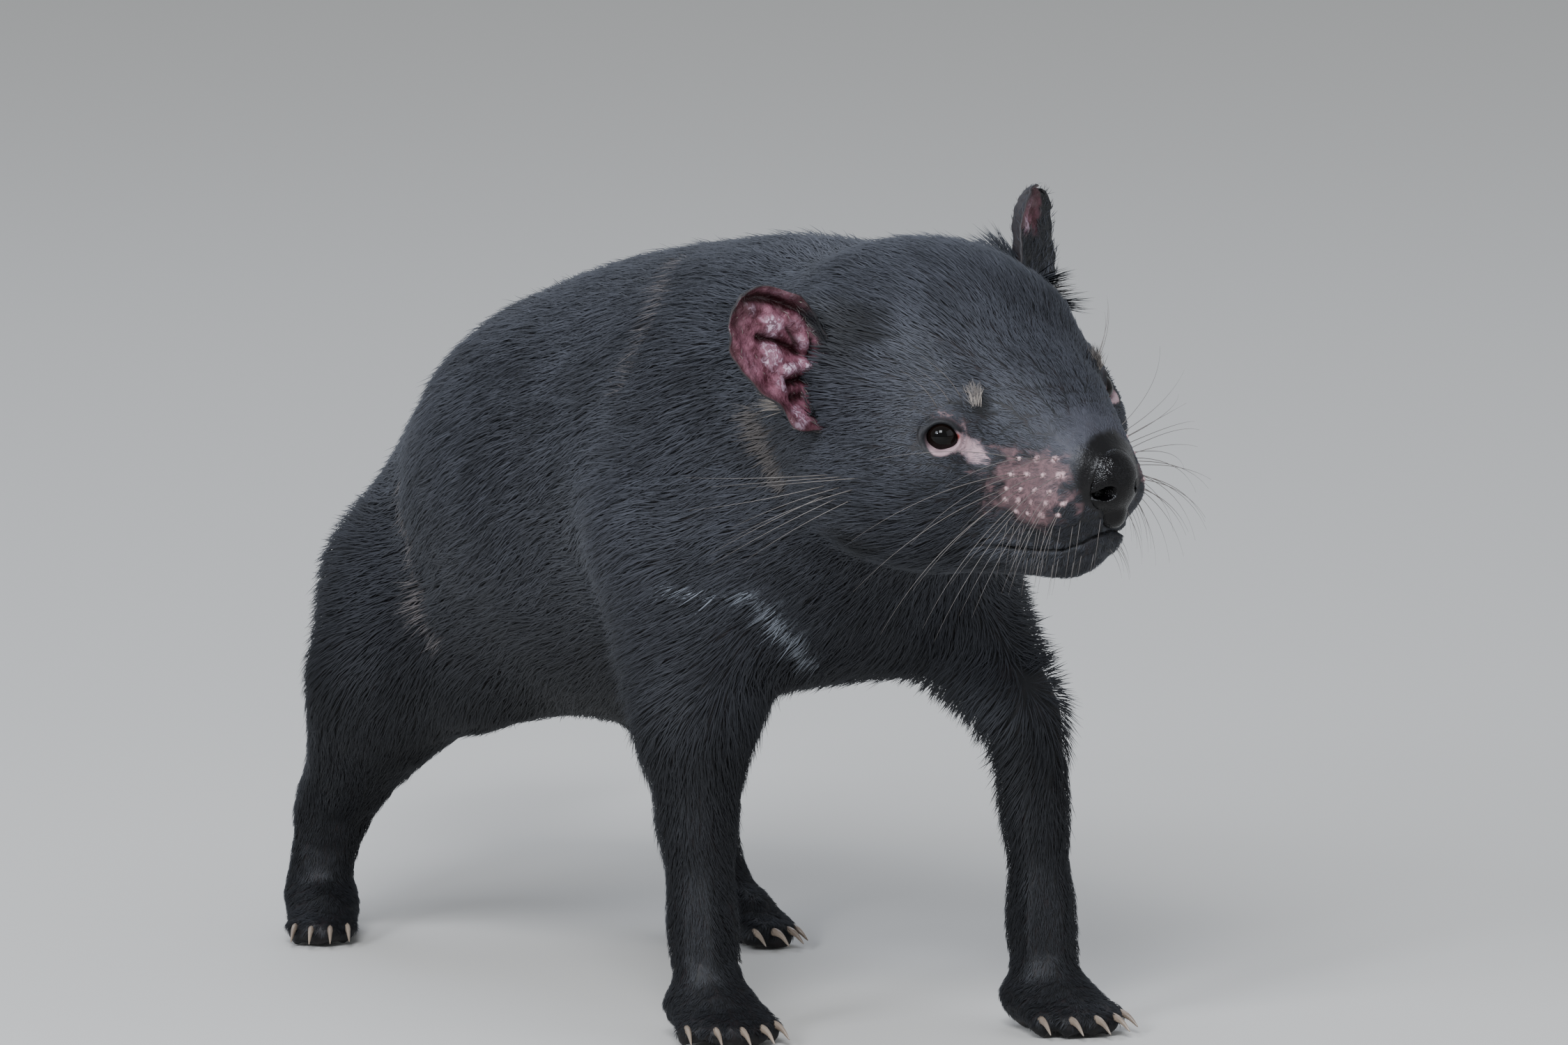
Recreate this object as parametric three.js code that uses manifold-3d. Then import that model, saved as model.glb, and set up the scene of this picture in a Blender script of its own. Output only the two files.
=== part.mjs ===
// A Tasmanian devil as a life-size, still museum model, in mid-stride, its head turned a little to its left.
// Millimetres. X runs from tail to nose, Y to the animal's left and Z up, with the soles at Z = 0.
// The flesh, coat included, is one smooth field of blended forms. It is drawn as facets, finer where the
// forms are small, and then parted into named solids with thin cuts.
import * as THREE from "three";
import { mergeVertices } from "three/addons/utils/BufferGeometryUtils.js";
import Module from "manifold-3d";

const wasm = await Module();
wasm.setup();

const v = (x, y, z) => new THREE.Vector3(x, y, z);
const radians = THREE.MathUtils.degToRad;

// Clearance between neighbouring solids.
const GAP = 0.3;

// Facet sizes.
const TRUNK_STEP = 18;
const NECK_STEP = 13;
const LEG_STEP = 14;
const PAW_STEP = 6;
const NOSE_STEP = 2.3;

// Trunk: centre and radii of each blended form.
const CHEST = v(78, 0, 191);
const CHEST_RADII = v(94, 76, 73);
const WITHERS = v(84, 0, 228);
const WITHERS_RADII = v(84, 58, 53);
const LOIN = v(16, 0, 209);
const LOIN_RADII = v(84, 56, 62);
const BELLY = v(-36, 0, 175);
const BELLY_RADII = v(119, 77, 83);
const FLANK = v(-88, 44, 112);
const FLANK_RADII = v(38, 24, 28);
const RUMP = v(-136, 0, 151);
const RUMP_RADII = v(62, 45, 63);
const NECK_ROOT = v(118, 0, 218);
const NECK_ROOT_RADIUS = 62;
const NECK_END = v(176, -4, 232);
const NECK_END_RADIUS = 52;
const TRUNK_BLEND = 40;
const LEG_BLEND = 24;
const NECK_BLEND = 26;

// The head has a frame of its own, midway between the ear roots, with X to the nose.
const HEAD_PLACE = v(194, -6, 270.5);
const HEAD_YAW = 14;
const HEAD_ROLL = 8;

// Legs: joints from the trunk down to the ankle, then the paw's middle on the floor.
const LEGS = {
  fore_right: {
    joints: [v(94, -42, 176), v(110, -57, 114), v(114, -58, 80), v(119, -58, 40)],
    radii: [43, 22, 14.5, 12],
    paw: v(126, -59, 0),
    splay: -6,
  },
  fore_left: {
    joints: [v(102, 38, 170), v(153, 56, 112), v(156, 58, 82), v(159, 59, 40)],
    radii: [34, 14.5, 12.5, 12],
    paw: v(164, 59, 0),
    splay: 6,
  },
  hind_right: {
    joints: [v(-139, -33, 132), v(-129, -55, 100), v(-167, -60, 48)],
    radii: [42.5, 30, 13],
    paw: v(-163, -66, 0),
    splay: -30,
  },
  hind_left: {
    joints: [v(-139, 33, 134), v(-87, 54, 98), v(-100, 60, 44)],
    radii: [42.5, 26, 12.5],
    paw: v(-79, 62, 0),
    splay: 10,
  },
};

// Toes in the paw's frame: how far forward and how far aside each tip lies.
const FORE_TOES = [
  [19, -17],
  [27, -9.5],
  [30, -1],
  [28, 7.5],
  [21, 15],
];
const HIND_TOES = [
  [24, -9.2],
  [29, -3.2],
  [28, 3.5],
  [22, 9.4],
];
const TOE_RADIUS = 4.6;
const PAW_HEIGHT = 21;
const CLAW_LENGTH = 12;
const CLAW_RADIUS = 2.1;

const TAIL = [v(-186, 0, 155), v(-252, 26, 146), v(-318, 78, 127), v(-366, 138, 112)];
const TAIL_RADII = [28, 22.5, 15, 7];
// The rounded tip: distances past the last station, and the radius there as a share of the last.
const TAIL_TIP = [
  { past: 3, share: 0.86 },
  { past: 5.6, share: 0.5 },
  { past: 6.8, share: 0.15 },
];

// Head forms in the head's frame.
const EYE_FACING = v(0.7, 0.71, 0.12).normalize();
const EYE_PLACE = v(28, 27, -39);
const EYE_RADIUS = 7;
const LID_THICKNESS = 1.5;
const LID_STAND = 1.2;
const NOSE = v(81.5, 0, -58);
const NOSE_RADII = v(10, 11, 12.5);
// The line of the mouth, from the front of the lips to the corner: degrees round a hub, and height.
const MOUTH_HUB = v(46, 0, -78);
const MOUTH_LINE = [
  [0, 1.5],
  [14, -0.6],
  [30, -3],
  [57, -2.8],
  [78, -1.4],
  [95, 0.4],
];
const MOUTH_SLIT = 0.4;

// Fields: each gives the distance from a point to a form's surface, below zero inside.
function ellipsoid(centre, radii, turn = new THREE.Euler()) {
  const place = new THREE.Matrix4().compose(centre, new THREE.Quaternion().setFromEuler(turn), v(1, 1, 1));
  const e = place.invert().elements;
  const [rx, ry, rz] = radii.toArray();
  return (x, y, z) => {
    const px = (e[0] * x + e[4] * y + e[8] * z + e[12]) / rx;
    const py = (e[1] * x + e[5] * y + e[9] * z + e[13]) / ry;
    const pz = (e[2] * x + e[6] * y + e[10] * z + e[14]) / rz;
    const reach = Math.hypot(px, py, pz);
    const slope = Math.hypot(px / rx, py / ry, pz / rz);
    return slope < 1e-9 ? -Math.min(rx, ry, rz) : (reach * (reach - 1)) / slope;
  };
}

// A stretch of limb: a cone from a to b with a ball at each end.
function stretch(a, b, ra, rb) {
  const ba = b.clone().sub(a);
  const l2 = ba.lengthSq();
  const rr = ra - rb;
  const a2 = l2 - rr * rr;
  return (x, y, z) => {
    const px = x - a.x;
    const py = y - a.y;
    const pz = z - a.z;
    const along = px * ba.x + py * ba.y + pz * ba.z;
    const past = along - l2;
    const x2 = (px * l2 - ba.x * along) ** 2 + (py * l2 - ba.y * along) ** 2 + (pz * l2 - ba.z * along) ** 2;
    const k = Math.sign(rr) * rr * rr * x2;
    if (Math.sign(past) * a2 * past * past * l2 > k) return Math.sqrt(x2 + past * past * l2) / l2 - rb;
    if (Math.sign(along) * a2 * along * along * l2 < k) return Math.sqrt(x2 + along * along * l2) / l2 - ra;
    return (Math.sqrt((x2 * a2) / l2) + along * rr) / l2 - ra;
  };
}

// A run of stretches through the points.
function run(width, points, radii) {
  return melt(width, ...points.slice(1).map((p, i) => stretch(points[i], p, radii[i], radii[i + 1])));
}

function blendTwo(a, b, width) {
  const h = Math.max(width - Math.abs(a - b), 0) / width;
  return Math.min(a, b) - (h * h * h * width) / 6;
}

// Forms melt into one another over the given width.
function melt(width, ...fields) {
  return (x, y, z) => fields.reduce((d, f) => blendTwo(d, f(x, y, z), width), Infinity);
}

// A form is scooped out of another, its edge softened over the given width.
function scoop(width, field, ...holes) {
  return (x, y, z) => holes.reduce((d, f) => -blendTwo(-d, f(x, y, z), width), field(x, y, z));
}

// A field given in a local frame, read in the frame that holds it.
function placed(field, place) {
  const e = place.clone().invert().elements;
  return (x, y, z) =>
    field(
      e[0] * x + e[4] * y + e[8] * z + e[12],
      e[1] * x + e[5] * y + e[9] * z + e[13],
      e[2] * x + e[6] * y + e[10] * z + e[14],
    );
}

// The same form on both sides of the head.
const SIDES = [1, -1];
const aside = (p, side) => v(p.x, p.y * side, p.z);
const paired = (make) => SIDES.map(make);

const headPlace = new THREE.Matrix4().compose(
  HEAD_PLACE,
  new THREE.Quaternion().setFromEuler(new THREE.Euler(radians(HEAD_ROLL), 0, radians(HEAD_YAW), "ZYX")),
  v(1, 1, 1),
);

const trunk = melt(
  TRUNK_BLEND,
  ellipsoid(CHEST, CHEST_RADII),
  ellipsoid(WITHERS, WITHERS_RADII),
  ellipsoid(LOIN, LOIN_RADII),
  ellipsoid(BELLY, BELLY_RADII),
  ellipsoid(RUMP, RUMP_RADII),
  ...paired((s) => ellipsoid(aside(FLANK, s), FLANK_RADII)),
  stretch(NECK_ROOT, NECK_END, NECK_ROOT_RADIUS, NECK_END_RADIUS),
);

const skull = melt(
  20,
  ...paired((s) => ellipsoid(v(12, 26 * s, -12), v(24, 13, 13))),
  ellipsoid(v(-8, 0, -24), v(56, 50, 45)),
  ...paired((s) => ellipsoid(v(8, 32 * s, -52), v(42, 29, 36))),
  stretch(v(40, 0, -44), v(66, 0, -56), 33, 21),
  ...paired((s) => stretch(v(18, 15 * s, -70), v(57.5, 5 * s, -80), 23.5, 13)),
);
const face = melt(
  8,
  skull,
  ...paired((s) => ellipsoid(v(63, 12.5 * s, -64), v(19, 13.5, 13))),
  ...paired((s) => ellipsoid(v(37, 26 * s, -25), v(14, 11, 8))),
  ...paired((s) => ellipsoid(v(30, 38 * s, -51), v(17, 9, 8))),
  ...paired((s) => stretch(v(-6, 35 * s, -16), v(-10, 43 * s, 7), 20, 7.5)),
);
// Hollows in front of the inner corner of each eye.
const socketed = scoop(9, face, ...paired((s) => ellipsoid(v(54, 36 * s, -40), v(9, 7, 8))));

// Where a ray leaves a form.
function surfaceFrom(field, from, way) {
  let [near, far] = [0, 120];
  for (let turn = 0; turn < 40; turn++) {
    const middle = (near + far) / 2;
    const p = from.clone().addScaledVector(way, middle);
    if (field(p.x, p.y, p.z) < 0) near = middle;
    else far = middle;
  }
  return from.clone().addScaledVector(way, near);
}

// The line of the mouth on the surface, and the upper lip's roll and the thinner lower lip along it.
const MOUTH = MOUTH_LINE.map(([angle, rise]) => {
  const hub = MOUTH_HUB.clone().add(v(0, 0, rise));
  return surfaceFrom(socketed, hub, v(Math.cos(radians(angle)), Math.sin(radians(angle)), 0));
});
function lip(side, rise, radius) {
  const points = MOUTH.map((p, i) => {
    const inward = MOUTH_HUB.clone().sub(p).setZ(0).normalize();
    const deep = radius * (i === 0 || i === MOUTH.length - 1 ? 1 : 0.62);
    return aside(p.clone().addScaledVector(inward, deep).add(v(0, 0, rise)), side);
  });
  return run(2, points, points.map((_, i) => radius * (1 - 0.06 * i)));
}
const head = melt(3.5, socketed, ...paired((s) => lip(s, 4.4, 4.4)), ...paired((s) => lip(s, -3.8, 3.5)));

// Paws: palm, toes and pads, in a frame with the middle of the sole at the origin and X to the toes.
const pawPlace = (leg) =>
  new THREE.Matrix4().compose(
    leg.paw,
    new THREE.Quaternion().setFromEuler(new THREE.Euler(0, 0, radians(leg.splay))),
    v(1, 1, 1),
  );
function pawField(hind) {
  const toes = hind ? HIND_TOES : FORE_TOES;
  const palm = hind
    ? melt(8, ellipsoid(v(2, 0, 12), v(19, 13.5, 10.5)), ellipsoid(v(-14, 0, 13), v(17, 11.5, 11)))
    : ellipsoid(v(0, 0, 12), v(19, 17, 10.5));
  const digits = toes.map(([x, y]) => stretch(v(6, y * 0.62, 10.5), v(x, y, 6), 6.4, TOE_RADIUS));
  const pads = toes.map(([x, y]) => ellipsoid(v(x - 1, y, 3), v(4.6, 3.7, 3.8)));
  const heel = hind ? ellipsoid(v(-3, 0, 3.6), v(17, 10, 4.6)) : ellipsoid(v(-4, 0, 3.6), v(12, 12, 4.6));
  return melt(2.5, melt(4, palm, ...digits), ...pads, heel);
}
function legField(name) {
  const leg = LEGS[name];
  const ankle = leg.joints.at(-1);
  const hind = name.startsWith("hind");
  const instep = leg.paw.clone().add(v(hind ? -6 : -2, 0, 17));
  const shaft = melt(14, run(14, leg.joints, leg.radii), stretch(ankle, instep, leg.radii.at(-1), 11.5));
  return melt(9, shaft, placed(pawField(hind), pawPlace(leg)));
}

const legNames = Object.keys(LEGS);

// The tail tapers evenly between its stations.
const tailPath = new THREE.CatmullRomCurve3(TAIL);
function tailRadius(t) {
  const station = t * (TAIL.length - 1);
  const n = Math.min(Math.floor(station), TAIL.length - 2);
  return THREE.MathUtils.lerp(TAIL_RADII[n], TAIL_RADII[n + 1], station - n);
}
function tailRun(count) {
  const points = tailPath.getPoints(count);
  return { points, radii: points.map((_, i) => tailRadius(i / count)) };
}
const tailCore = tailRun(6);
const tail = run(4, tailCore.points, tailCore.radii);
const body = melt(LEG_BLEND, trunk, ...legNames.map(legField), tail);
const headInWorld = placed(head, headPlace);
const flesh = (x, y, z) => blendTwo(body(x, y, z), headInWorld(x, y, z), NECK_BLEND);

// Evenly or unevenly spaced grid lines: each stop is a place and the step that leads up to it.
function lines(from, ...stops) {
  const places = [from];
  for (const [to, step] of stops) {
    const start = places[places.length - 1];
    const n = Math.max(1, Math.round((to - start) / step));
    for (let i = 1; i <= n; i++) places.push(start + ((to - start) * i) / n);
  }
  return places;
}

// Surface nets: a vertex for each sheet of surface that crosses a cell, drawn onto the surface.
// The form is closed where it would run out of the grid.
const CORNERS = [0, 1, 2, 3, 4, 5, 6, 7].map((c) => [c & 1, (c >> 1) & 1, c >> 2]);
const EDGES = CORNERS.flatMap((_, a) => [1, 2, 4].filter((bit) => !(a & bit)).map((bit) => [a, a | bit]));
const edgeBetween = (a, b) => EDGES.findIndex(([p, q]) => p === Math.min(a, b) && q === Math.max(a, b));
const FACES = [1, 2, 4].flatMap((bit) => {
  const [p, q] = [1, 2, 4].filter((other) => other !== bit);
  return [0, bit].map((base) => [base, base | p, base | p | q, base | q]);
});
// The four cells around a grid edge, as steps back from its lower end, for edges along each axis.
const AROUND = [
  [[0, 1, 1], [0, 0, 1], [0, 0, 0], [0, 1, 0]],
  [[1, 0, 1], [1, 0, 0], [0, 0, 0], [0, 0, 1]],
  [[1, 1, 0], [0, 1, 0], [0, 0, 0], [1, 0, 0]],
];

// The crossed edges of a cell, sorted into sheets. On a face crossed four times, corners inside stay apart.
function sheetsOf(inside) {
  const sheet = EDGES.map(([a, b], e) => (inside[a] === inside[b] ? -1 : e));
  function join(e, f) {
    const [keep, drop] = [sheet[e], sheet[f]];
    sheet.forEach((s, i) => {
      if (s === drop) sheet[i] = keep;
    });
  }
  for (const loop of FACES) {
    const sides = loop.map((corner, i) => edgeBetween(corner, loop[(i + 1) % 4]));
    const crossed = sides.filter((e) => sheet[e] >= 0);
    if (crossed.length === 2) join(crossed[0], crossed[1]);
    if (crossed.length === 4)
      loop.forEach((corner, i) => {
        if (inside[corner]) join(sides[i], sides[(i + 3) % 4]);
      });
  }
  return sheet;
}

function facets(field, xs, ys, zs) {
  const axes = [xs, ys, zs];
  const n = axes.map((a) => a.length);
  const at = (i, j, k) => (k * n[1] + j) * n[0] + i;
  const ends = axes.map((a) => [(a[0] + a[1]) / 2, (a[a.length - 1] + a[a.length - 2]) / 2]);
  function closed(x, y, z) {
    const out = [x, y, z].map((c, axis) => Math.max(ends[axis][0] - c, c - ends[axis][1]));
    return Math.max(field(x, y, z), ...out);
  }
  const values = new Float64Array(n[0] * n[1] * n[2]);
  for (let k = 0; k < n[2]; k++)
    for (let j = 0; j < n[1]; j++)
      for (let i = 0; i < n[0]; i++) values[at(i, j, k)] = closed(xs[i], ys[j], zs[k]);
  const points = [];
  const vertexOf = new Map();

  function ontoSurface(start, reach) {
    let p = start;
    for (let turn = 0; turn < 5; turn++) {
      const d = closed(...p);
      const slope = [0, 1, 2].map((axis) => {
        const q = [...p];
        q[axis] += 0.05;
        return (closed(...q) - d) / 0.05;
      });
      const s = d / Math.max(slope[0] ** 2 + slope[1] ** 2 + slope[2] ** 2, 0.1);
      p = p.map((c, a) => THREE.MathUtils.clamp(c - s * slope[a], start[a] - reach[a], start[a] + reach[a]));
    }
    return p;
  }

  for (let k = 0; k < n[2] - 1; k++)
    for (let j = 0; j < n[1] - 1; j++)
      for (let i = 0; i < n[0] - 1; i++) {
        const d = CORNERS.map(([a, b, c]) => values[at(i + a, j + b, k + c)]);
        const inside = d.map((value) => value < 0);
        if (inside.every((one) => one === inside[0])) continue;
        const cell = [i, j, k];
        const size = cell.map((c, axis) => axes[axis][c + 1] - axes[axis][c]);
        const sheet = sheetsOf(inside);
        for (const name of new Set(sheet.filter((s) => s >= 0))) {
          const crossed = EDGES.map((_, e) => e).filter((e) => sheet[e] === name);
          const mean = [0, 0, 0];
          for (const e of crossed) {
            const [a, b] = EDGES[e];
            const t = d[a] / (d[a] - d[b]);
            for (let axis = 0; axis < 3; axis++)
              mean[axis] += (CORNERS[a][axis] + t * (CORNERS[b][axis] - CORNERS[a][axis])) / crossed.length;
            vertexOf.set(at(i, j, k) * 12 + e, points.length);
          }
          const start = mean.map((m, axis) => axes[axis][cell[axis]] + m * size[axis]);
          const reach = size.map((s) => s * 0.4);
          points.push(ontoSurface(start, reach));
        }
      }
  const triangles = [];
  const apart = (a, b) => Math.hypot(...points[a].map((c, axis) => c - points[b][axis]));
  function quad(a, b, c, d) {
    if (apart(a, c) <= apart(b, d)) triangles.push(a, b, c, a, c, d);
    else triangles.push(a, b, d, b, c, d);
  }
  for (let k = 0; k < n[2] - 1; k++)
    for (let j = 0; j < n[1] - 1; j++)
      for (let i = 0; i < n[0] - 1; i++) {
        const inside = values[at(i, j, k)] < 0;
        AROUND.forEach((cells, axis) => {
          const next = [i, j, k];
          next[axis] += 1;
          if (inside === values[at(...next)] < 0) return;
          const ring = cells.map(([a, b, c]) => {
            const corner = a | (b << 1) | (c << 2);
            return vertexOf.get(at(i - a, j - b, k - c) * 12 + edgeBetween(corner, corner | (1 << axis)));
          });
          if (!inside) ring.reverse();
          quad(...ring);
        });
      }
  const geometry = new THREE.BufferGeometry();
  geometry.setAttribute("position", new THREE.Float32BufferAttribute(points.flat(), 3));
  geometry.setIndex(triangles);
  return geometry;
}

// The flesh drawn inside a box, in even steps.
function fleshIn(min, max, step) {
  return solid(
    facets(flesh, lines(min.x, [max.x, step]), lines(min.y, [max.y, step]), lines(min.z, [max.z, step])),
  );
}

// Geometry as a closed solid that can be joined and cut, and back.
function solid(geometry) {
  const bare = geometry.clone();
  for (const extra of ["normal", "uv"]) bare.deleteAttribute(extra);
  const merged = mergeVertices(bare, 1e-4);
  const index = [];
  for (let i = 0; i < merged.index.count; i += 3) {
    const [a, b, c] = [0, 1, 2].map((n) => merged.index.getX(i + n));
    if (a !== b && b !== c && c !== a) index.push(a, b, c);
  }
  const mesh = new wasm.Mesh({
    numProp: 3,
    vertProperties: Float32Array.from(merged.attributes.position.array),
    triVerts: Uint32Array.from(index),
  });
  return new wasm.Manifold(mesh);
}
function drawn(manifold) {
  const mesh = manifold.getMesh();
  const geometry = new THREE.BufferGeometry();
  geometry.setAttribute("position", new THREE.Float32BufferAttribute(mesh.vertProperties, 3));
  geometry.setIndex(Array.from(mesh.triVerts));
  const bare = mergeVertices(geometry, 1e-5);
  const flat = bare.toNonIndexed();
  flat.computeVertexNormals();
  return flat;
}

// All space on the far side of a plane.
function beyond(point, normal, gap = GAP / 2) {
  const n = normal.clone().normalize();
  const box = new THREE.BoxGeometry(900, 900, 900);
  const turn = new THREE.Quaternion().setFromUnitVectors(v(1, 0, 0), n);
  const centre = point.clone().addScaledVector(n, 450 + gap);
  return solid(box.applyMatrix4(new THREE.Matrix4().compose(centre, turn, v(1, 1, 1))));
}
// The two sides of a cut: first what lies along the normal, then the rest.
function parted(form, point, normal) {
  return [form.intersect(beyond(point, normal)), form.intersect(beyond(point, normal.clone().negate()))];
}

// A closed outline through points, drawn in side view (forward, up), pushed outward by a margin.
function outline(points, margin, smooth = true) {
  const loop = points.map(([x, z]) => v(x, z, 0));
  const curve = smooth
    ? new THREE.CatmullRomCurve3(loop, true, "centripetal").getPoints(points.length * 2).slice(0, -1)
    : loop;
  const turning = THREE.ShapeUtils.area(curve) > 0 ? 1 : -1;
  return curve.map((p, i) => {
    const ahead = curve[(i + 1) % curve.length].clone().sub(p).normalize();
    const behind = p
      .clone()
      .sub(curve[(i + curve.length - 1) % curve.length])
      .normalize();
    const way = ahead.add(behind).normalize();
    return new THREE.Vector2(p.x + way.y * margin * turning, p.y - way.x * margin * turning);
  });
}
// A side-view outline carried across from y0 to y1.
function acrossBody(shapePoints, y0, y1) {
  const options = { depth: y1 - y0, bevelEnabled: false, steps: 1 };
  const geometry = new THREE.ExtrudeGeometry(new THREE.Shape(shapePoints), options);
  geometry.rotateX(Math.PI / 2);
  geometry.translate(0, y1, 0);
  return geometry;
}

// A tapering tube through points, closed at both ends, its section flattened by the given factor.
function sweep(points, radii, sides, flatten = 1, upHint = v(0, 0, 1)) {
  const positions = [];
  const index = [];
  points.forEach((p, i) => {
    const ahead = (points[i + 1] ?? p).clone().sub(points[i - 1] ?? p).normalize();
    const side = ahead.clone().cross(upHint).normalize();
    const up = side.clone().cross(ahead);
    for (let s = 0; s < sides; s++) {
      const a = ((s + 0.5) / sides) * Math.PI * 2;
      const q = p
        .clone()
        .addScaledVector(side, Math.cos(a) * radii[i] * flatten)
        .addScaledVector(up, Math.sin(a) * radii[i]);
      positions.push(q.x, q.y, q.z);
    }
  });
  for (let i = 0; i < points.length - 1; i++)
    for (let s = 0; s < sides; s++) {
      const a = i * sides + s;
      const b = i * sides + ((s + 1) % sides);
      index.push(a, a + sides, b, b, a + sides, b + sides);
    }
  const last = (points.length - 1) * sides;
  for (let s = 1; s < sides - 1; s++) {
    index.push(0, s, s + 1);
    index.push(last, last + s + 1, last + s);
  }
  const geometry = new THREE.BufferGeometry();
  geometry.setAttribute("position", new THREE.Float32BufferAttribute(positions, 3));
  geometry.setIndex(index);
  return geometry;
}

const SKIN = "#1d1c1f";
const HORN = "#3a332f";
const group = new THREE.Group();
const parts = [];
// Each part is one closed body, without the scraps that a cut may leave.
function add(name, form, colour, roughness = 0.75) {
  const [whole] = form.decompose().sort((a, b) => b.volume() - a.volume());
  parts.push({ name, form: whole, colour, roughness });
}

// Torso, neck and tail. The legs are parted from the trunk by upright cuts that follow shoulder and thigh.
// A cut runs about the line from the paw to the leg's top joint: half widths at heights from the floor.
const FORE_CUT = { heights: [-12, 55, 108, 158, 203], halves: [58, 52, 47, 50, 34], top: 222 };
const HIND_CUT = { heights: [-12, 48, 100, 152, 198], halves: [57, 56, 64, 64, 40], top: 214 };
const LEG_CUT_INSET = 24;
const LEG_CUT_REACH = 220;
function legCut(name) {
  const leg = LEGS[name];
  const cut = name.startsWith("hind") ? HIND_CUT : FORE_CUT;
  const top = leg.joints[0];
  const middle = cut.heights.map((z) =>
    THREE.MathUtils.lerp(leg.paw.x, top.x, THREE.MathUtils.clamp(z / top.z, 0, 1)),
  );
  const back = cut.heights.map((z, i) => [middle[i] - cut.halves[i], z]);
  const front = cut.heights.map((z, i) => [middle[i] + cut.halves[i], z]).reverse();
  return [...back, [top.x, cut.top], ...front];
}
function legCutter(name, margin) {
  const inner = LEG_CUT_INSET - margin;
  const shape = outline(legCut(name), margin);
  const [y0, y1] = name.endsWith("right") ? [-LEG_CUT_REACH, -inner] : [inner, LEG_CUT_REACH];
  return solid(acrossBody(shape, y0, y1));
}

let carcass = fleshIn(v(-262, -124, 60), v(186, 124, 312), TRUNK_STEP);
for (const name of legNames) carcass = carcass.subtract(legCutter(name, GAP));
const neckCut = v(122, 0, 216);
const neckWay = v(0.93, 0, 0.37);
const headCut = v(-44, 0, 0).applyMatrix4(headPlace);
const headWay = v(0.97, 0, 0.25).transformDirection(headPlace);
const tailCut = TAIL[0].clone().lerp(TAIL[1], 0.72);
const tailWay = TAIL[1].clone().sub(TAIL[0]);
const trunkForm = parted(parted(carcass, neckCut, neckWay)[1], tailCut, tailWay)[1];
add("torso", trunkForm, SKIN);
let neckForm = fleshIn(v(82, -112, 110), v(216, 100, 312), NECK_STEP);
for (const name of legNames) neckForm = neckForm.subtract(legCutter(name, GAP));
neckForm = parted(parted(neckForm, neckCut, neckWay)[0], headCut, headWay)[1];
add("neck", neckForm, SKIN);
const tailSkin = tailRun(14);
const tipWay = tailPath.getTangent(1);
for (const { past, share } of TAIL_TIP) {
  tailSkin.points.push(TAIL.at(-1).clone().addScaledVector(tipWay, past));
  tailSkin.radii.push(TAIL_RADII.at(-1) * share);
}
const tailForm = solid(sweep(tailSkin.points, tailSkin.radii, 12));
add("tail", parted(tailForm, tailCut, tailWay)[0], SKIN);

// Legs, in three stretches each, with the paw drawn finer.
for (const name of legNames) {
  const leg = LEGS[name];
  const [top, mid] = leg.joints;
  const low = leg.joints.at(-1);
  const out = Math.sign(top.y);
  const xs = legCut(name).map(([x]) => x);
  const ySpan = [12 * out, 124 * out].sort((a, b) => a - b);
  const near = v(Math.min(...xs) - 9, ySpan[0], -14);
  const far = v(Math.max(...xs) + 9, ySpan[1], 236);
  const limb = fleshIn(near, far, LEG_STEP).intersect(legCutter(name, 0));
  const upperWay = mid.clone().sub(top).normalize();
  const lowerWay = low.clone().sub(mid).normalize();
  const kneeWay = upperWay.clone().add(lowerWay);
  const [below, upper] = parted(limb, mid, kneeWay);
  const footWay = lowerWay.clone().add(v(0, 0, -1.6));
  const ankle = low.clone().add(v(0, 0, -14));
  const lower = parted(below, ankle, footWay)[1];
  add(`${name}_upper_leg`, upper, SKIN);
  add(`${name}_lower_leg`, lower, SKIN);

  const reach = 46;
  const p = leg.paw;
  const fine = fleshIn(v(p.x - reach, p.y - 32, -6), v(p.x + reach, p.y + 32, ankle.z + 16), PAW_STEP);
  let paw = parted(fine, ankle, footWay)[0];
  paw = paw.intersect(beyond(v(0, 0, 0), v(0, 0, 1), 0));
  const toes = name.startsWith("hind") ? HIND_TOES : FORE_TOES;
  const place = pawPlace(leg);
  toes.forEach(([x, y], i) => {
    const lean = y * 0.014;
    const path = [0, 0.32, 0.66, 1].map((t) =>
      v(
        x - 1.5 + CLAW_LENGTH * t,
        y + lean * CLAW_LENGTH * t,
        6.8 + 1.6 * Math.sin(t * 2.2) - 5.4 * t * t,
      ).applyMatrix4(place),
    );
    const radii = [1, 0.92, 0.62, 0.16].map((r) => r * CLAW_RADIUS);
    const claw = solid(sweep(path, radii, 5, 0.75));
    paw = paw.subtract(
      solid(
        sweep(
          [path[0].clone().lerp(path[1], -0.1), ...path.slice(1)],
          radii.map((r) => r * 1.04 + GAP),
          5,
          0.8,
        ),
      ),
    );
    add(`${name}_claw_${i + 1}`, claw, HORN, 0.4);
  });
  add(`${name}_paw`, paw, SKIN);
}

// Head: drawn finer at the face than at the nape.
const headField = placed(flesh, headPlace.clone().invert());
let skullForm = solid(
  facets(
    headField,
    lines(-72, [18, 11], [104, 5.2]),
    lines(-86, [-36, 10], [36, 5.4], [86, 10]),
    lines(-120, [-98, 10], [-30, 5], [40, 10]),
  ).applyMatrix4(headPlace),
);
skullForm = parted(skullForm, headCut, headWay)[0];

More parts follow.
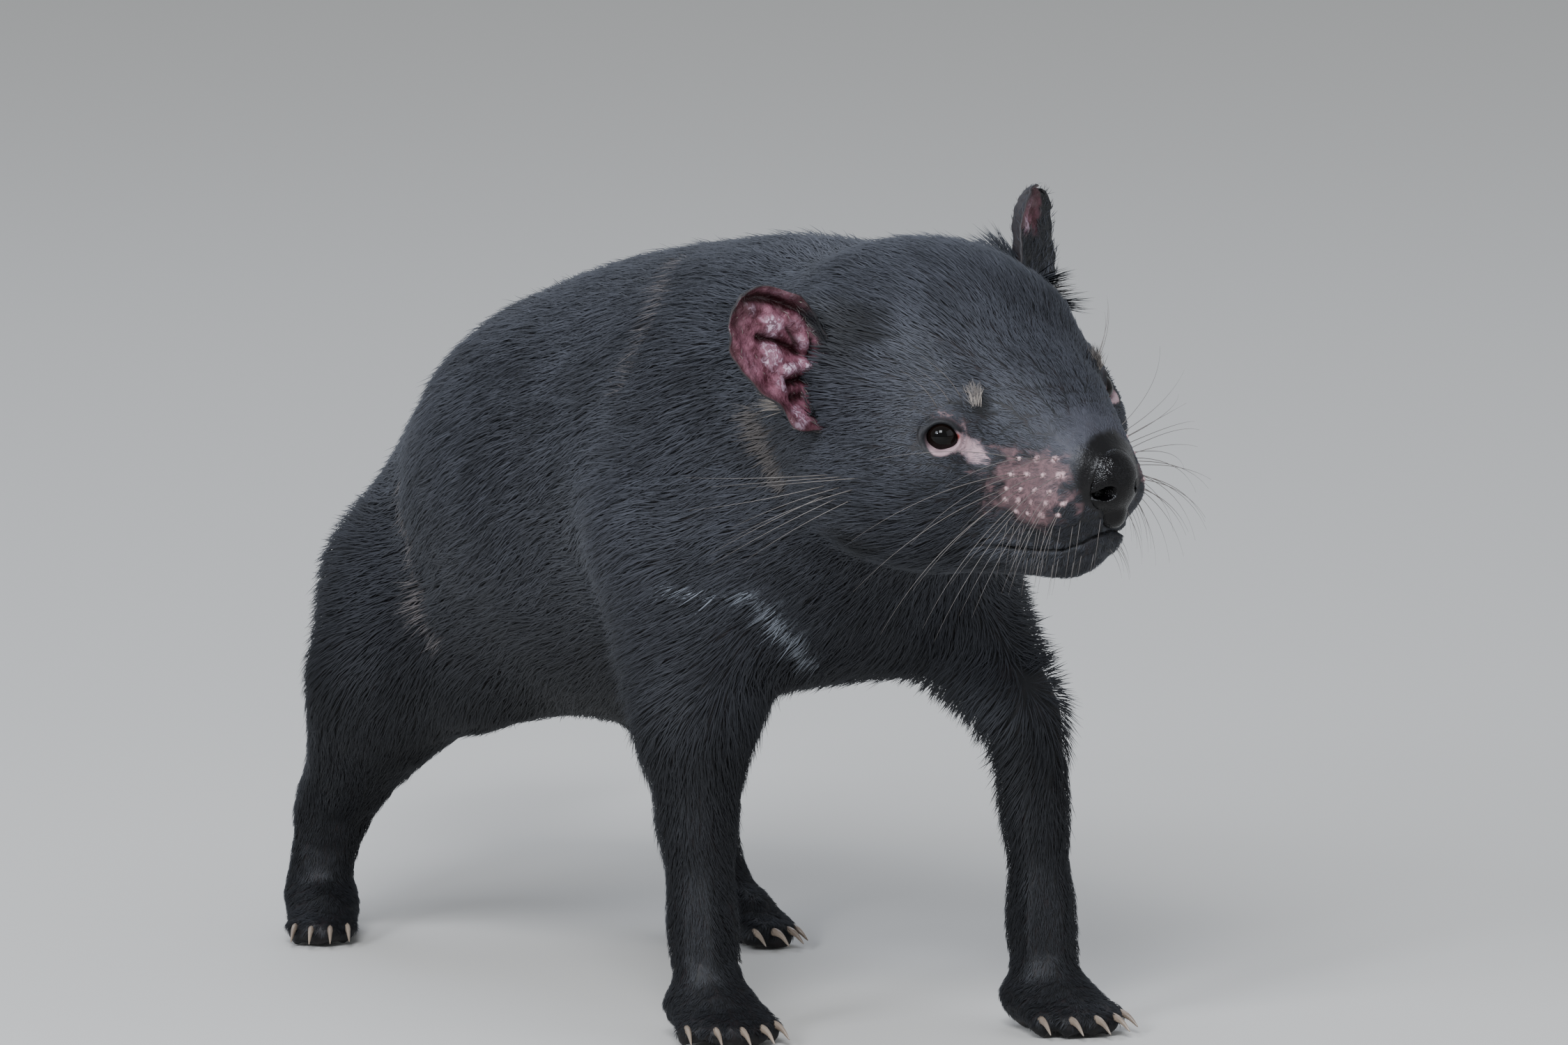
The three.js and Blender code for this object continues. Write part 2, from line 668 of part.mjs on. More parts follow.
// Eyes: a ball behind lids that leave an almond opening.
const inHead = (geometry) => solid(geometry.applyMatrix4(headPlace));
const headPlaceRows = headPlace.elements;
const LID_OPENING = [
  [-7.2, -0.8],
  [-4.4, 3],
  [0.4, 4.7],
  [4.6, 3.3],
  [7.4, -0.2],
  [4, -3.6],
  [-0.4, -4.7],
  [-4.8, -3.5],
];
for (const side of SIDES) {
  const facing = aside(EYE_FACING, side);
  const surface = surfaceFrom(head, aside(EYE_PLACE, side), facing);
  const centre = surface.addScaledVector(facing, LID_STAND - EYE_RADIUS - LID_THICKNESS);
  const backward = v(0, 0, 1).cross(facing).normalize();
  const frame = new THREE.Matrix4().makeBasis(backward, facing.clone().cross(backward), facing);
  frame.setPosition(centre);
  const ball = (radius, across, down) => new THREE.SphereGeometry(radius, across, down).applyMatrix4(frame);
  const lids = inHead(ball(EYE_RADIUS + LID_THICKNESS, 20, 14));
  const loop = LID_OPENING.map(([x, y]) => v(x * side, y, 0));
  const rim = new THREE.CatmullRomCurve3(loop, true).getPoints(22).slice(0, -1);
  const almond = new THREE.Shape(rim.map((p) => new THREE.Vector2(p.x, p.y)));
  const opening = inHead(
    new THREE.ExtrudeGeometry(almond, { depth: 30, bevelEnabled: false, steps: 1 }).applyMatrix4(frame),
  );
  skullForm = skullForm
    .add(lids)
    .subtract(opening)
    .subtract(inHead(ball(EYE_RADIUS + GAP, 16, 11)));
  add(side > 0 ? "eye_left" : "eye_right", inHead(ball(EYE_RADIUS, 16, 10)), "#1a0f0b", 0.05);
}

// Nose: a leathery pad with a nostril opening forward and aside on each side and a groove down its middle.
const noseAt = (x, y, z) => NOSE.clone().add(v(x, y, z));
const noseBase = melt(
  5,
  ellipsoid(NOSE, NOSE_RADII),
  ellipsoid(noseAt(0, 0, -11), v(6, 5.5, 7)),
  ...paired((s) => ellipsoid(noseAt(-1, 6.5 * s, -3), v(7.5, 5.5, 7))),
);
const noseField = scoop(
  1.8,
  noseBase,
  ...paired((s) => run(1, [noseAt(11, 5 * s, -0.5), noseAt(3, 6.4 * s, -2)], [3.3, 2.6])),
  ...paired((s) => run(1, [noseAt(8, 8 * s, -2.5), noseAt(0, 13.5 * s, -4)], [2, 1.5])),
  run(1, [noseAt(11.5, 0, -3), noseAt(7.5, 0, -15)], [1, 1.3]),
);
function noseFacets(field, coarse, fine) {
  return facets(
    field,
    lines(NOSE.x - 18, [NOSE.x, coarse], [NOSE.x + 16, fine]),
    lines(-20, [20, fine]),
    lines(NOSE.z - 26, [NOSE.z - 12, coarse], [NOSE.z + 6, fine], [NOSE.z + 20, coarse]),
  );
}
const noseForm = inHead(noseFacets(noseField, 3.4, NOSE_STEP));
const noseSeat = inHead(noseFacets((x, y, z) => noseBase(x, y, z) - GAP * 1.7, 3.8, 3.4));
skullForm = skullForm.subtract(noseSeat);
add("nose", noseForm, "#131214", 0.3);

// Jaw: everything under the line of the mouth, back to the corner and down through the throat.
const mouthLine = MOUTH.map((p) => [p.x, p.z]).reverse();
const under = [
  [14, -126],
  [22, -104],
  [34, -86],
  ...mouthLine,
  [130, -74],
  [130, -126],
];
const jawShape = (margin) => inHead(acrossBody(outline(under, margin, false), -90, 90));
add("jaw", skullForm.intersect(jawShape(0)), SKIN);
skullForm = skullForm.subtract(jawShape(MOUTH_SLIT));

// Ears: thin cupped shells on a root, each held its own way.
// The fold is the share by which the edge next to the crown is drawn in at the root.
const EARS = {
  ear_right: {
    root: v(-6, -51, -19),
    tip: v(-12, -83, 18),
    facing: v(0.84, -0.42, 0.34),
    width: 20.5,
    fold: 0.45,
  },
  ear_left: {
    root: v(-8, 50, -12),
    tip: v(-16, 68.5, 26),
    facing: v(0.82, 0.56, 0.22),
    width: 18.5,
    fold: 0,
  },
};
const EAR_CUP = 9;
const EAR_FULL = 0.5;
const EAR_LOW = -0.2;
function earFrame(ear) {
  const along = ear.tip.clone().sub(ear.root);
  const length = along.length();
  along.normalize();
  const facing = ear.facing.clone().addScaledVector(along, -ear.facing.dot(along)).normalize();
  const across = along.clone().cross(facing);
  // A place on the middle of the shell: up from root to tip, across from edge to edge, lifted to the front.
  return (up, w, lift, margin = 0) => {
    const over = Math.max(up - EAR_FULL, 0) / (1 - EAR_FULL);
    const half = ear.width * Math.max(1 - over ** 2, 0.012) ** 0.45;
    const taper = 0.8 + 0.2 * Math.min(up * 2.4, 1);
    const drawnIn = w > 0 ? ear.fold * (1 - THREE.MathUtils.clamp(up, 0, 0.5)) : 0;
    const cup = EAR_CUP * ((1 - w * w * (1 - 0.5 * up)) * (1 - 0.55 * up * up) - 0.55);
    return ear.root
      .clone()
      .addScaledVector(along, up * length)
      .addScaledVector(across, (half * taper * (1 - drawnIn) + margin) * w)
      .addScaledVector(facing, lift - cup);
  };
}
function earShell(ear, margin) {
  const place = earFrame(ear);
  const rows = 8;
  const columns = 8;
  const length = ear.tip.distanceTo(ear.root);
  const low = EAR_LOW - margin / length;
  const high = 1 + margin / length;
  const sheets = [1, -1].map((face) => {
    const sheet = [];
    for (let r = 0; r <= rows; r++) {
      const up = low + (high - low) * Math.sin((r / rows) * (Math.PI / 2));
      for (let c = 0; c <= columns; c++) {
        const w = (c / columns) * 2 - 1;
        const thick = (2.1 - 0.9 * up) * (1 - 0.35 * w * w) * 0.5 + margin;
        sheet.push(place(up, w, face * thick, margin));
      }
    }
    return sheet;
  });
  const wide = columns + 1;
  const count = wide * (rows + 1);
  const index = [];
  for (let r = 0; r < rows; r++)
    for (let c = 0; c < columns; c++) {
      const a = r * wide + c;
      index.push(a, a + 1, a + wide, a + 1, a + wide + 1, a + wide);
      const b = a + count;
      index.push(b, b + wide, b + 1, b + 1, b + wide, b + wide + 1);
    }
  const rim = [];
  for (let c = 0; c < wide; c++) rim.push(c);
  for (let r = 1; r <= rows; r++) rim.push(r * wide + columns);
  for (let c = columns - 1; c >= 0; c--) rim.push(rows * wide + c);
  for (let r = rows - 1; r > 0; r--) rim.push(r * wide);
  rim.forEach((a, i) => {
    const b = rim[(i + 1) % rim.length];
    index.push(a, a + count, b, b, a + count, b + count);
  });
  const geometry = new THREE.BufferGeometry();
  const positions = sheets.flat().flatMap((p) => p.toArray());
  geometry.setAttribute("position", new THREE.Float32BufferAttribute(positions, 3));
  geometry.setIndex(index);
  return geometry;
}
// Folds inside the cup: two ridges and a rolled front edge, as up and across along each, with its radius.
const EAR_FOLDS = [
  { ups: [0.26, 0.56, 0.78], across: [0.6, 0.34, 0], radius: 1.4 },
  { ups: [0.26, 0.42, 0.6], across: [0.06, -0.02, -0.22], radius: 1.2 },
  { ups: [0.12, 0.34, 0.6], across: [-0.84, -0.9, -0.9], radius: 1.6 },
];
function earForm(ear) {
  const place = earFrame(ear);
  return EAR_FOLDS.reduce((form, { ups, across, radius }) => {
    const points = ups.map((up, i) => place(up, across[i], 0.7));
    const radii = points.map((_, i) => radius * (i === 0 || i === points.length - 1 ? 0.55 : 1));
    return form.add(solid(sweep(points, radii, 5, 1, ear.facing)));
  }, solid(earShell(ear, 0)));
}
for (const [name, ear] of Object.entries(EARS)) {
  const form = earForm(ear);
  skullForm = skullForm.subtract(solid(earShell(ear, GAP)).add(form).transform(headPlaceRows));
  add(name, form.transform(headPlaceRows), "#b98d8b", 0.7);
}
add("head", skullForm, SKIN);

// The whole is set down with the middle of its footprint at the origin.
const bounds = new THREE.Box3();
const drawnParts = parts.map((part) => ({ ...part, geometry: drawn(part.form) }));
for (const part of drawnParts) {
  part.geometry.computeBoundingBox();
  bounds.union(part.geometry.boundingBox);
}
const centre = bounds.getCenter(v(0, 0, 0));
for (const part of drawnParts) {
  part.geometry.translate(-centre.x, -centre.y, -bounds.min.z);
  const material = new THREE.MeshStandardMaterial({ color: part.colour, roughness: part.roughness });
  const mesh = new THREE.Mesh(part.geometry, material);
  mesh.name = part.name;
  group.add(mesh);
}
export default group;
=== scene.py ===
# A Tasmanian devil as a life-size museum model, standing in mid-stride with its head turned to its left.
# One skin lies under a short coat of solid tufts. The eyes, nose, ears, claws and whiskers are pieces of their own.
# Sizes are in millimetres where a name ends in MM or a comment says so, and otherwise in metres.
import math
from functools import lru_cache

import bmesh
import bpy
import numpy as np
from bpy.props import FloatProperty, FloatVectorProperty, PointerProperty
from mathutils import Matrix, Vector
from mathutils.bvhtree import BVHTree


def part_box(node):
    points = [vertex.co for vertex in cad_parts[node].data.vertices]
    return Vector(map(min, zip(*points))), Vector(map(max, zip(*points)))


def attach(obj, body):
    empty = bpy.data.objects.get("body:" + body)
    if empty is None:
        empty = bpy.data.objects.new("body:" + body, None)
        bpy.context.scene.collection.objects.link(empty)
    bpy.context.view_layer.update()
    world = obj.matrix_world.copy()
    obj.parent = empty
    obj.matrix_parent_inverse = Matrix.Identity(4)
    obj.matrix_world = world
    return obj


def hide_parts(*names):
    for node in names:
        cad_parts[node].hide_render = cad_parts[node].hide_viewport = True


bl_info = {
    "name": "Tasmanian Devil",
    "version": (1, 0, 0),
    "blender": (4, 5, 0),
    "location": "View3D > Sidebar > Devil",
    "description": "A life-size Tasmanian devil with its skin, coat, bare parts and whiskers",
    "category": "Mesh",
}

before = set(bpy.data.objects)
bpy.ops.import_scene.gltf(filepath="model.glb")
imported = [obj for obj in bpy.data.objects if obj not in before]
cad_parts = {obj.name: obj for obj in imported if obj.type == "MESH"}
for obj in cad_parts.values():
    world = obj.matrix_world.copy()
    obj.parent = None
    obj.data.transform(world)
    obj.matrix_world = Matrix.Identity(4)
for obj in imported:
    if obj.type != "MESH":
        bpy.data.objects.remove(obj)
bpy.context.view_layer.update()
MM = 0.001

LEGS = ["fore_right", "fore_left", "hind_right", "hind_left"]
CLAWS = sorted(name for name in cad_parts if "_claw_" in name)
FLESH = ["torso", "neck", "tail", "head", "jaw"]
FLESH += [f"{leg}_{part}" for leg in LEGS for part in ("upper_leg", "lower_leg", "paw")]


def middle(node):
    low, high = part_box(node)
    return (low + high) / 2


# The head's own frame: X to the nose, Y to the animal's left, Z up. The eyeballs' middles lie in it at a
# known place, so the frame follows from where the eyeballs are.
EYE_IN_HEAD = Vector((38.07, 37.21, -37.27)) * MM
HEAD_LEFT = (middle("eye_left") - middle("eye_right")).normalized()
HEAD_FORE = HEAD_LEFT.cross(Vector((0, 0, 1))).normalized()
HEAD_UP = HEAD_FORE.cross(HEAD_LEFT)
HEAD_AXES = np.array([HEAD_FORE, HEAD_LEFT, HEAD_UP])
BETWEEN_EYES = np.array((middle("eye_left") + middle("eye_right")) / 2)
HEAD_ORIGIN = BETWEEN_EYES - np.array((EYE_IN_HEAD.x, 0, EYE_IN_HEAD.z)) @ HEAD_AXES

SIDES = {"right": -1, "left": 1}
EYE_MIDDLE = {side: np.array(middle(f"eye_{side}")) for side in SIDES}


def to_head(points):
    """Places in the head's frame, in millimetres."""
    return (np.asarray(points, float) - HEAD_ORIGIN) @ HEAD_AXES.T / MM


def from_head(points):
    """Places in the head's frame, in millimetres, put back in the model's frame."""
    return np.asarray(points, float) * MM @ HEAD_AXES + HEAD_ORIGIN


def way_from_head(direction):
    made = np.asarray(direction, float) @ HEAD_AXES
    return made / np.linalg.norm(made)


# Head forms in the head's frame, in millimetres. Y is given for the left side.
NOSE_MM = np.array((81.5, 0.0, -58.0))
NOSE_RADII_MM = np.array((10.0, 11.0, 12.5))
EYE_RADIUS_MM = 7.0
EYE_FACING = (0.7, 0.71, 0.12)
MOUTH_HUB_MM = np.array((46.0, 0.0, -78.0))
# Degrees round the hub from the front of the lips to the corner, and the rise of the line there.
MOUTH_LINE = [(0, 1.5), (14, -0.6), (30, -3.0), (57, -2.8), (78, -1.4), (95, 0.4)]
# Each ear: its root and tip, where its cup faces, its half width and how far its upper edge is drawn in.
EARS = {
    "right": {"root": (-6, -51, -19), "tip": (-12, -83, 18), "facing": (0.84, -0.42, 0.34), "width": 20.5, "fold": 0.45},
    "left": {"root": (-8, 50, -12), "tip": (-16, 68.5, 26), "facing": (0.82, 0.56, 0.22), "width": 17.0, "fold": 0.0},
}
EAR_CUP_MM = 9.0
# Where up the ear it starts to round off, and how far its skin runs down below the root.
EAR_FULL = 0.5
EAR_LOW = -0.2
# Whisker roots in rows on the muzzle: each row's hindmost root, as X and Z, and how many the row has.
WHISKER_ROWS_MM = [(63.1, -46.4, 3), (59.9, -52.0, 4), (57.6, -57.2, 4), (56.4, -61.4, 5), (59.9, -65.6, 4)]
WHISKER_SPACING_MM = 5.5


# Small helpers.
def linear(code):
    """An sRGB hex colour as linear red, green and blue."""
    parts = [int(code[i : i + 2], 16) / 255 for i in (1, 3, 5)]
    return np.array([c / 12.92 if c <= 0.04045 else ((c + 0.055) / 1.055) ** 2.4 for c in parts])


def rgba(code):
    return (*(float(part) for part in linear(code)), 1.0)


def take(*objects):
    """Selects these objects alone."""
    for other in list(bpy.context.selected_objects):
        other.select_set(False)
    for one in objects:
        one.select_set(True)
    bpy.context.view_layer.objects.active = objects[0]


def finish_with(piece, kind, **settings):
    """Adds a modifier and applies it."""
    take(piece)
    modifier = piece.modifiers.new(kind.title(), kind)
    for name, value in settings.items():
        setattr(modifier, name, value)
    bpy.ops.object.modifier_apply(modifier=modifier.name)


def take_nothing():
    for other in list(bpy.context.selected_objects):
        other.select_set(False)


def points_of(piece):
    flat = np.empty(len(piece.data.vertices) * 3, np.float32)
    piece.data.vertices.foreach_get("co", flat)
    return flat.reshape(-1, 3).astype(float)


def move_points(piece, points):
    piece.data.vertices.foreach_set("co", np.asarray(points, np.float32).ravel())
    piece.data.update()


def normals_of(piece):
    flat = np.empty(len(piece.data.vertices) * 3, np.float32)
    piece.data.vertex_normals.foreach_get("vector", flat)
    return flat.reshape(-1, 3).astype(float)


def write_attribute(piece, name, values):
    """A number for each vertex, which the materials read by name."""
    attribute = piece.data.attributes.get(name) or piece.data.attributes.new(name, "FLOAT", "POINT")
    attribute.data.foreach_set("value", np.asarray(values, np.float32))


def unit(vectors):
    return vectors / np.maximum(np.linalg.norm(vectors, axis=-1, keepdims=True), 1e-9)


def ease(values, start, end):
    """From 0 at start to 1 at end, without corners."""
    t = np.clip((np.asarray(values, float) - start) / (end - start), 0, 1)
    return t * t * (3 - 2 * t)


WANDER_SIZE = 24
WANDER_TABLE = np.random.default_rng(7).uniform(-1, 1, (WANDER_SIZE,) * 3)


def wander(points, size, shift=0.0):
    """Smooth noise between -1 and 1 whose swells are about size across."""
    p = np.asarray(points, float) / size + shift
    cell = np.floor(p).astype(int)
    t = p - cell
    t = t * t * (3 - 2 * t)
    total = np.zeros(len(p))
    for corner in np.ndindex(2, 2, 2):
        share = np.prod(np.where(np.array(corner) == 1, t, 1 - t), axis=1)
        i, j, k = ((cell + corner) % WANDER_SIZE).T
        total += share * WANDER_TABLE[i, j, k]
    return total


def distance_to_path(points, path):
    """How far each point lies from a line through the path's points."""
    path = np.asarray(path, float)
    best = np.full(len(points), np.inf)
    for a, b in zip(path[:-1], path[1:]):
        along = np.clip((points - a) @ (b - a) / ((b - a) @ (b - a)), 0, 1)
        best = np.minimum(best, np.linalg.norm(points - a - along[:, None] * (b - a), axis=1))
    return best


# The stage.
CAMERA_TARGET = Vector((0.04578, 0.01654, 0.1676))
CAMERA_AZIMUTH = 61.0
CAMERA_ELEVATION = 7.0
CAMERA_DISTANCE = 6.0
CAMERA_LENS = 374.0
# Each light: name, place, size in metres, watts and colour.
STUDIO_LIGHTS = [
    ("key_softbox", (2.3, -1.7, 2.3), 1.15, 112.0, "#f4f8ff"),
    ("side_softbox", (0.9, -2.5, 1.6), 0.9, 30.0, "#eef4ff"),
    ("low_softbox", (1.3, -2.2, 1.15), 0.36, 15.0, "#eef4ff"),
    ("fill_softbox", (2.6, 1.4, 1.2), 1.8, 10.0, "#eef3ff"),
    ("back_softbox", (-1.5, 0.4, 2.9), 2.0, 34.0, "#dfe9ff"),
]


def settings():
    return bpy.context.scene.devil


def tree_of(piece):
    return BVHTree.FromObject(piece, bpy.context.evaluated_depsgraph_get())


def add_node(tree, kind, inputs=None, links=None, **values):
    """Adds a shader node with its settings, its numbers and what is linked to it."""
    made = tree.nodes.new("ShaderNode" + kind)
    for name, value in values.items():
        setattr(made, name, value)
    for name, value in (inputs or {}).items():
        made.inputs[name].default_value = value
    for name, source in (links or {}).items():
        tree.links.new(source, made.inputs[name])
    return made


def new_material(name):
    material = bpy.data.materials.new(name)
    material.use_nodes = True
    tree = material.node_tree
    tree.nodes.clear()
    return material, tree


# How the coat grows.
NOSE_MIDDLE = np.array(middle("nose"))
BACKWARD = np.array((-1.0, 0.0, 0.0))
DOWNWARD = np.array((0.0, 0.0, -1.0))


def line_through(node, count):
    """Middles of slices of a long node, from its front to its back."""
    points = points_of(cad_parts[node])
    front, back = points[:, 0].max(), points[:, 0].min()
    width = (front - back) / count
    starts = [front - width * n for n in range(count)]
    return np.array([points[np.abs(points[:, 0] - (s - width / 2)) < width].mean(0) for s in starts])


TAIL_LINE = line_through("tail", 6)


def coat_length(points):
    """How long the fur is at each place, in millimetres."""
    body = settings().body_fur * 1000
    head = to_head(points)
    off_nose = np.linalg.norm(head - NOSE_MM, axis=1)
    length = body * np.interp(off_nose, [13, 26, 50, 80, 120, 170], [0.10, 0.16, 0.32, 0.52, 0.78, 1.0])
    height = points[:, 2] / MM
    length = np.minimum(length, body * np.interp(height, [6, 25, 60, 95, 135], [0.16, 0.26, 0.45, 0.72, 1.0]))
    behind = ease(points[:, 0], TAIL_LINE[0, 0] + 0.03, TAIL_LINE[1, 0])
    length = length * (1 + 0.35 * behind)
    for side in SIDES:
        off_eye = np.linalg.norm(points - EYE_MIDDLE[side], axis=1) / MM
        length = length * np.interp(off_eye, [8, 12, 26], [0.2, 0.45, 1.0])
        front_of_ear = np.array(EARS[side]["root"]) + (9.0, 0.0, 6.0)
        off_ear = np.linalg.norm(head - front_of_ear, axis=1)
        length = length * np.interp(off_ear, [10, 24], [1.5, 1.0])
    ruff = np.linalg.norm((head * (1, 0, 1) - (10, 0, -78)) / (42, 1, 22), axis=1)
    length = length * (1 + 0.8 * (1 - ease(ruff, 0.5, 1.1)))
    lip = np.abs(head[:, 2] + 78) + 0.6 * np.maximum(60 - head[:, 0], 0)
    tip = np.linalg.norm(points - TAIL_LINE[-1], axis=1)
    return (np.minimum(length, np.interp(lip, [4, 16], [1.6, 30.0]))) * np.interp(tip, [0.0, 0.03], [0.35, 1.0])



def coat_flow(points, normals):
    """Which way the fur lies at each place, along the surface."""
    off_nose = points - NOSE_MIDDLE
    away = unit(off_nose) + 0.22 * DOWNWARD
    steep = np.abs(normals[:, 1:2])
    back = unit(BACKWARD + 0.6 * steep * DOWNWARD)
    from_head_share = 1 - ease(np.linalg.norm(off_nose, axis=1), 0.115, 0.185)[:, None]
    way = away * from_head_share + back * (1 - from_head_share)
    low = 1 - ease(points[:, 2:3], 0.085, 0.15)
    low = low * (1 - from_head_share)
    way = way * (1 - low) + low * (DOWNWARD + 0.3 * BACKWARD)
    tail_way = np.empty_like(points)
    nearest = np.argmin(np.linalg.norm(points[:, None] - TAIL_LINE[None, :-1], axis=2), axis=1)
    tail_way[:] = unit(TAIL_LINE[1:] - TAIL_LINE[:-1])[nearest]
    behind = ease(-points[:, 0:1], 0.15, 0.2) * (points[:, 2:3] > 0.09)
    way = way * (1 - behind) + tail_way * behind
    way = way - normals * np.sum(way * normals, axis=1, keepdims=True)
    flat = np.linalg.norm(way, axis=1) < 0.05
    way[flat] = np.cross(normals[flat], (0.0, 1.0, 0.0))
    return unit(way)


# Markings that the skin and the coat share, with painted shade and a painted sheen among them. Places in the head's
# frame are for the left side and hold for both. Places on the trunk are in the model's frame. All in millimetres.
EYE_PATCH_MM = ((43.5, 36.0, -40.5), (50.5, 31.5, -44.0))
WHISKER_PAD_MM = (66.0, 22.5, -57.5)
WHISKER_PAD_RADII_MM = (13.8, 12.0, 12.2)
LEATHER_MM = (80.5, 0.0, -55.5)
LEATHER_RADII_MM = (13.0, 15.0, 15.0)
# Painted shade in the fur: dark patches before the root of the ear, over the eye and behind the mouth, each with its
# reach.
PAINTED_SHADE_MM = [((9.0, 45.0, -1.0), 16.0), ((52.5, 27.0, -28.5), 5.0), ((38.0, 39.0, -29.0), 3.0), ((8.0, 44.0, -74.0), 12.0)]
UNDER_EAR_MM = ((208, -85, 229), (214, -84, 219), (219, -81, 207))
BLAZE_MM = ((170, -98, 168), (179, -90, 165), (188, -79, 164), (193, -71, 163), (193, -64, 155), (190, -55, 146), (182, -43, 137))
BLAZE_WIDTH_MM = [0.8, 0.9, 1.0, 2.6, 3.6, 2.8]
BACK_STREAK_MM = ((92, -49, 275), (123, -73, 263), (127, -86, 248), (125, -93, 232))
FLANK_STREAK_MM = ((-69, -83, 179), (-47, -91, 161), (-39, -91, 141), (-35, -91, 133), (-24, -93, 129), (-20, -92, 124))


def whisker_spots():
    """Where whiskers leave the muzzle, as X and Z in the head's frame."""
    spots = []
    for x, z, count in WHISKER_ROWS_MM:
        spots += [(x + WHISKER_SPACING_MM * n, z - 0.3 * n) for n in range(count)]
    return spots


@lru_cache
def laid_on_skin(path):
    """A path in millimetres in the model's frame, brought down onto the skin in short steps."""
    tree = tree_of(bpy.data.objects["skin"])
    steps = np.linspace(0, len(path) - 1, 8 * (len(path) - 1) + 1)
    rough = np.stack([np.interp(steps, range(len(path)), [p[n] for p in path]) for n in range(3)], axis=1)
    return np.array([tree.find_nearest(Vector(p * MM))[0] for p in rough]) / MM


def near_path(points, path, width):
    return 1 - ease(distance_to_path(points, path), 0.55 * width, 1.25 * width)


def markings(points):
    """Shares from 0 to 1 of each marking at each place, with painted shade and a painted sheen among them."""
    head = to_head(points)
    far_side = head[:, 1] > 0
    head[:, 1] = np.abs(head[:, 1])
    trunk = np.asarray(points, float) / MM
    ragged = 1 + 0.35 * wander(points, 0.004) + 0.25 * wander(points, 0.0015, 3)
    blaze = np.zeros(len(points))
    for a, b, width in zip(BLAZE_MM[:-1], BLAZE_MM[1:], BLAZE_WIDTH_MM):
        blaze = np.maximum(blaze, near_path(trunk, laid_on_skin((a, b)), width * ragged))
    streak = np.zeros(len(points))
    for path in (BACK_STREAK_MM, FLANK_STREAK_MM):
        streak = np.maximum(streak, near_path(trunk, laid_on_skin(path), 2.2 * ragged))
    pad = np.linalg.norm((head - WHISKER_PAD_MM) / WHISKER_PAD_RADII_MM, axis=1)
    bridge = np.linalg.norm((head - (72, 4, -44)) / (17, 14, 11), axis=1)
    leather = np.linalg.norm((head - LEATHER_MM) / LEATHER_RADII_MM, axis=1)
    # Painted shade: the head's patches listed above are darkened.
    black = np.zeros(len(points))
    for spot, reach in PAINTED_SHADE_MM:
        black = np.maximum(black, 1 - ease(np.linalg.norm(head - spot, axis=1) * ragged, 0.5 * reach, 1.2 * reach))
    # Painted shade: darker towards the bottom of the body, below about 150 mm, under the belly and on the legs.
    black = np.maximum(black, np.interp(trunk[:, 2], [105, 150], [0.9, 0.0]))
    spots = np.full(len(points), np.inf)
    for x, z in whisker_spots():
        spots = np.minimum(spots, np.hypot(head[:, 0] - x, head[:, 2] - z))
    return {
        "pale": np.zeros(len(points)),
        "spots": (1 - ease(spots * ragged, 0.55, 1.25)) * (head[:, 1] > 5),
        "black": black,
        "blaze": blaze,
        "streak": streak,
        "pad": 1 - ease(pad * ragged, 0.75, 1.2),
        "warm": 0.8 * near_path(trunk, laid_on_skin(UNDER_EAR_MM), 6 * ragged),
        # Painted sheen: a lighter bluish-grey patch over the bridge of the muzzle.
        "bridge": 1 - ease(bridge * ragged, 0.4, 1.5),
        "leather": (1 - ease(leather * (0.8 + 0.2 * ragged), 0.88, 1.15)) * ease(head[:, 0], 71, 78),
        "eye_patch": near_path(head, EYE_PATCH_MM, 4.2 * ragged) * np.where(far_side, 0.3, 1.0),
    }


def write_markings(piece, points):
    for name, values in markings(points).items():
        write_attribute(piece, name, values)


# The skin.
LID_RING_MM = 11.0
# The eye's opening, every 30 degrees from the corner towards the nose and round over the top.
LID_OPENING_MM = [5.6, 4.9, 4.6, 4.5, 4.6, 5.0, 5.4, 5.0, 4.7, 4.7, 5.0, 6.0]


def opening_radius(angle):
    """The smooth outline of the eye's opening through its twelve radii."""
    waves = np.fft.rfft(LID_OPENING_MM) / len(LID_OPENING_MM)
    total = np.full(np.shape(angle), waves[0].real)
    for n, wave in enumerate(waves[1:], start=1):
        share = 1 if 2 * n == len(LID_OPENING_MM) else 2
        total = total + share * (wave.real * np.cos(n * angle) - wave.imag * np.sin(n * angle))
    return total


def eye_axes(side):
    """The eyeball's middle, then the ways towards the nose, up and out of the opening."""
    sign = SIDES[side]
    out = way_from_head((EYE_FACING[0], EYE_FACING[1] * sign, EYE_FACING[2]))
    up = unit(np.array(HEAD_UP) - out * (out @ np.array(HEAD_UP)))
    return EYE_MIDDLE[side], np.array([np.cross(out, up) * sign, up, out])


def in_eye(points, side):
    """Places round an eye, in millimetres: towards the nose, up and out."""
    centre, axes = eye_axes(side)
    return (np.asarray(points, float) - centre) @ axes.T / MM


def past_opening(points, side):
    """How far outside the eye's opening each place lies, seen along the way it faces, in millimetres."""
    local = in_eye(points, side)
    angle = np.arctan2(local[:, 1], local[:, 0])
    return np.hypot(local[:, 0], local[:, 1]) - opening_radius(angle), local


def copy_of(names, piece_name, grow=0.25):
    """One mesh from copies of some solids, merged, each grown by some of a millimetre."""
    made = []
    for name in names:
        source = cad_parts[name]
        one = bpy.data.objects.new(piece_name + name, source.data.copy())
        bpy.context.scene.collection.objects.link(one)
        take(one)
        bpy.ops.object.mode_set(mode="EDIT")
        bpy.ops.mesh.select_all(action="SELECT")
        bpy.ops.mesh.remove_doubles(threshold=1e-6)
        bpy.ops.object.mode_set(mode="OBJECT")
        move_points(one, points_of(one) + normals_of(one) * grow * MM)
        made.append(one)
    take(*made)
    bpy.ops.object.join()
    made[0].name = made[0].data.name = piece_name
    return made[0]


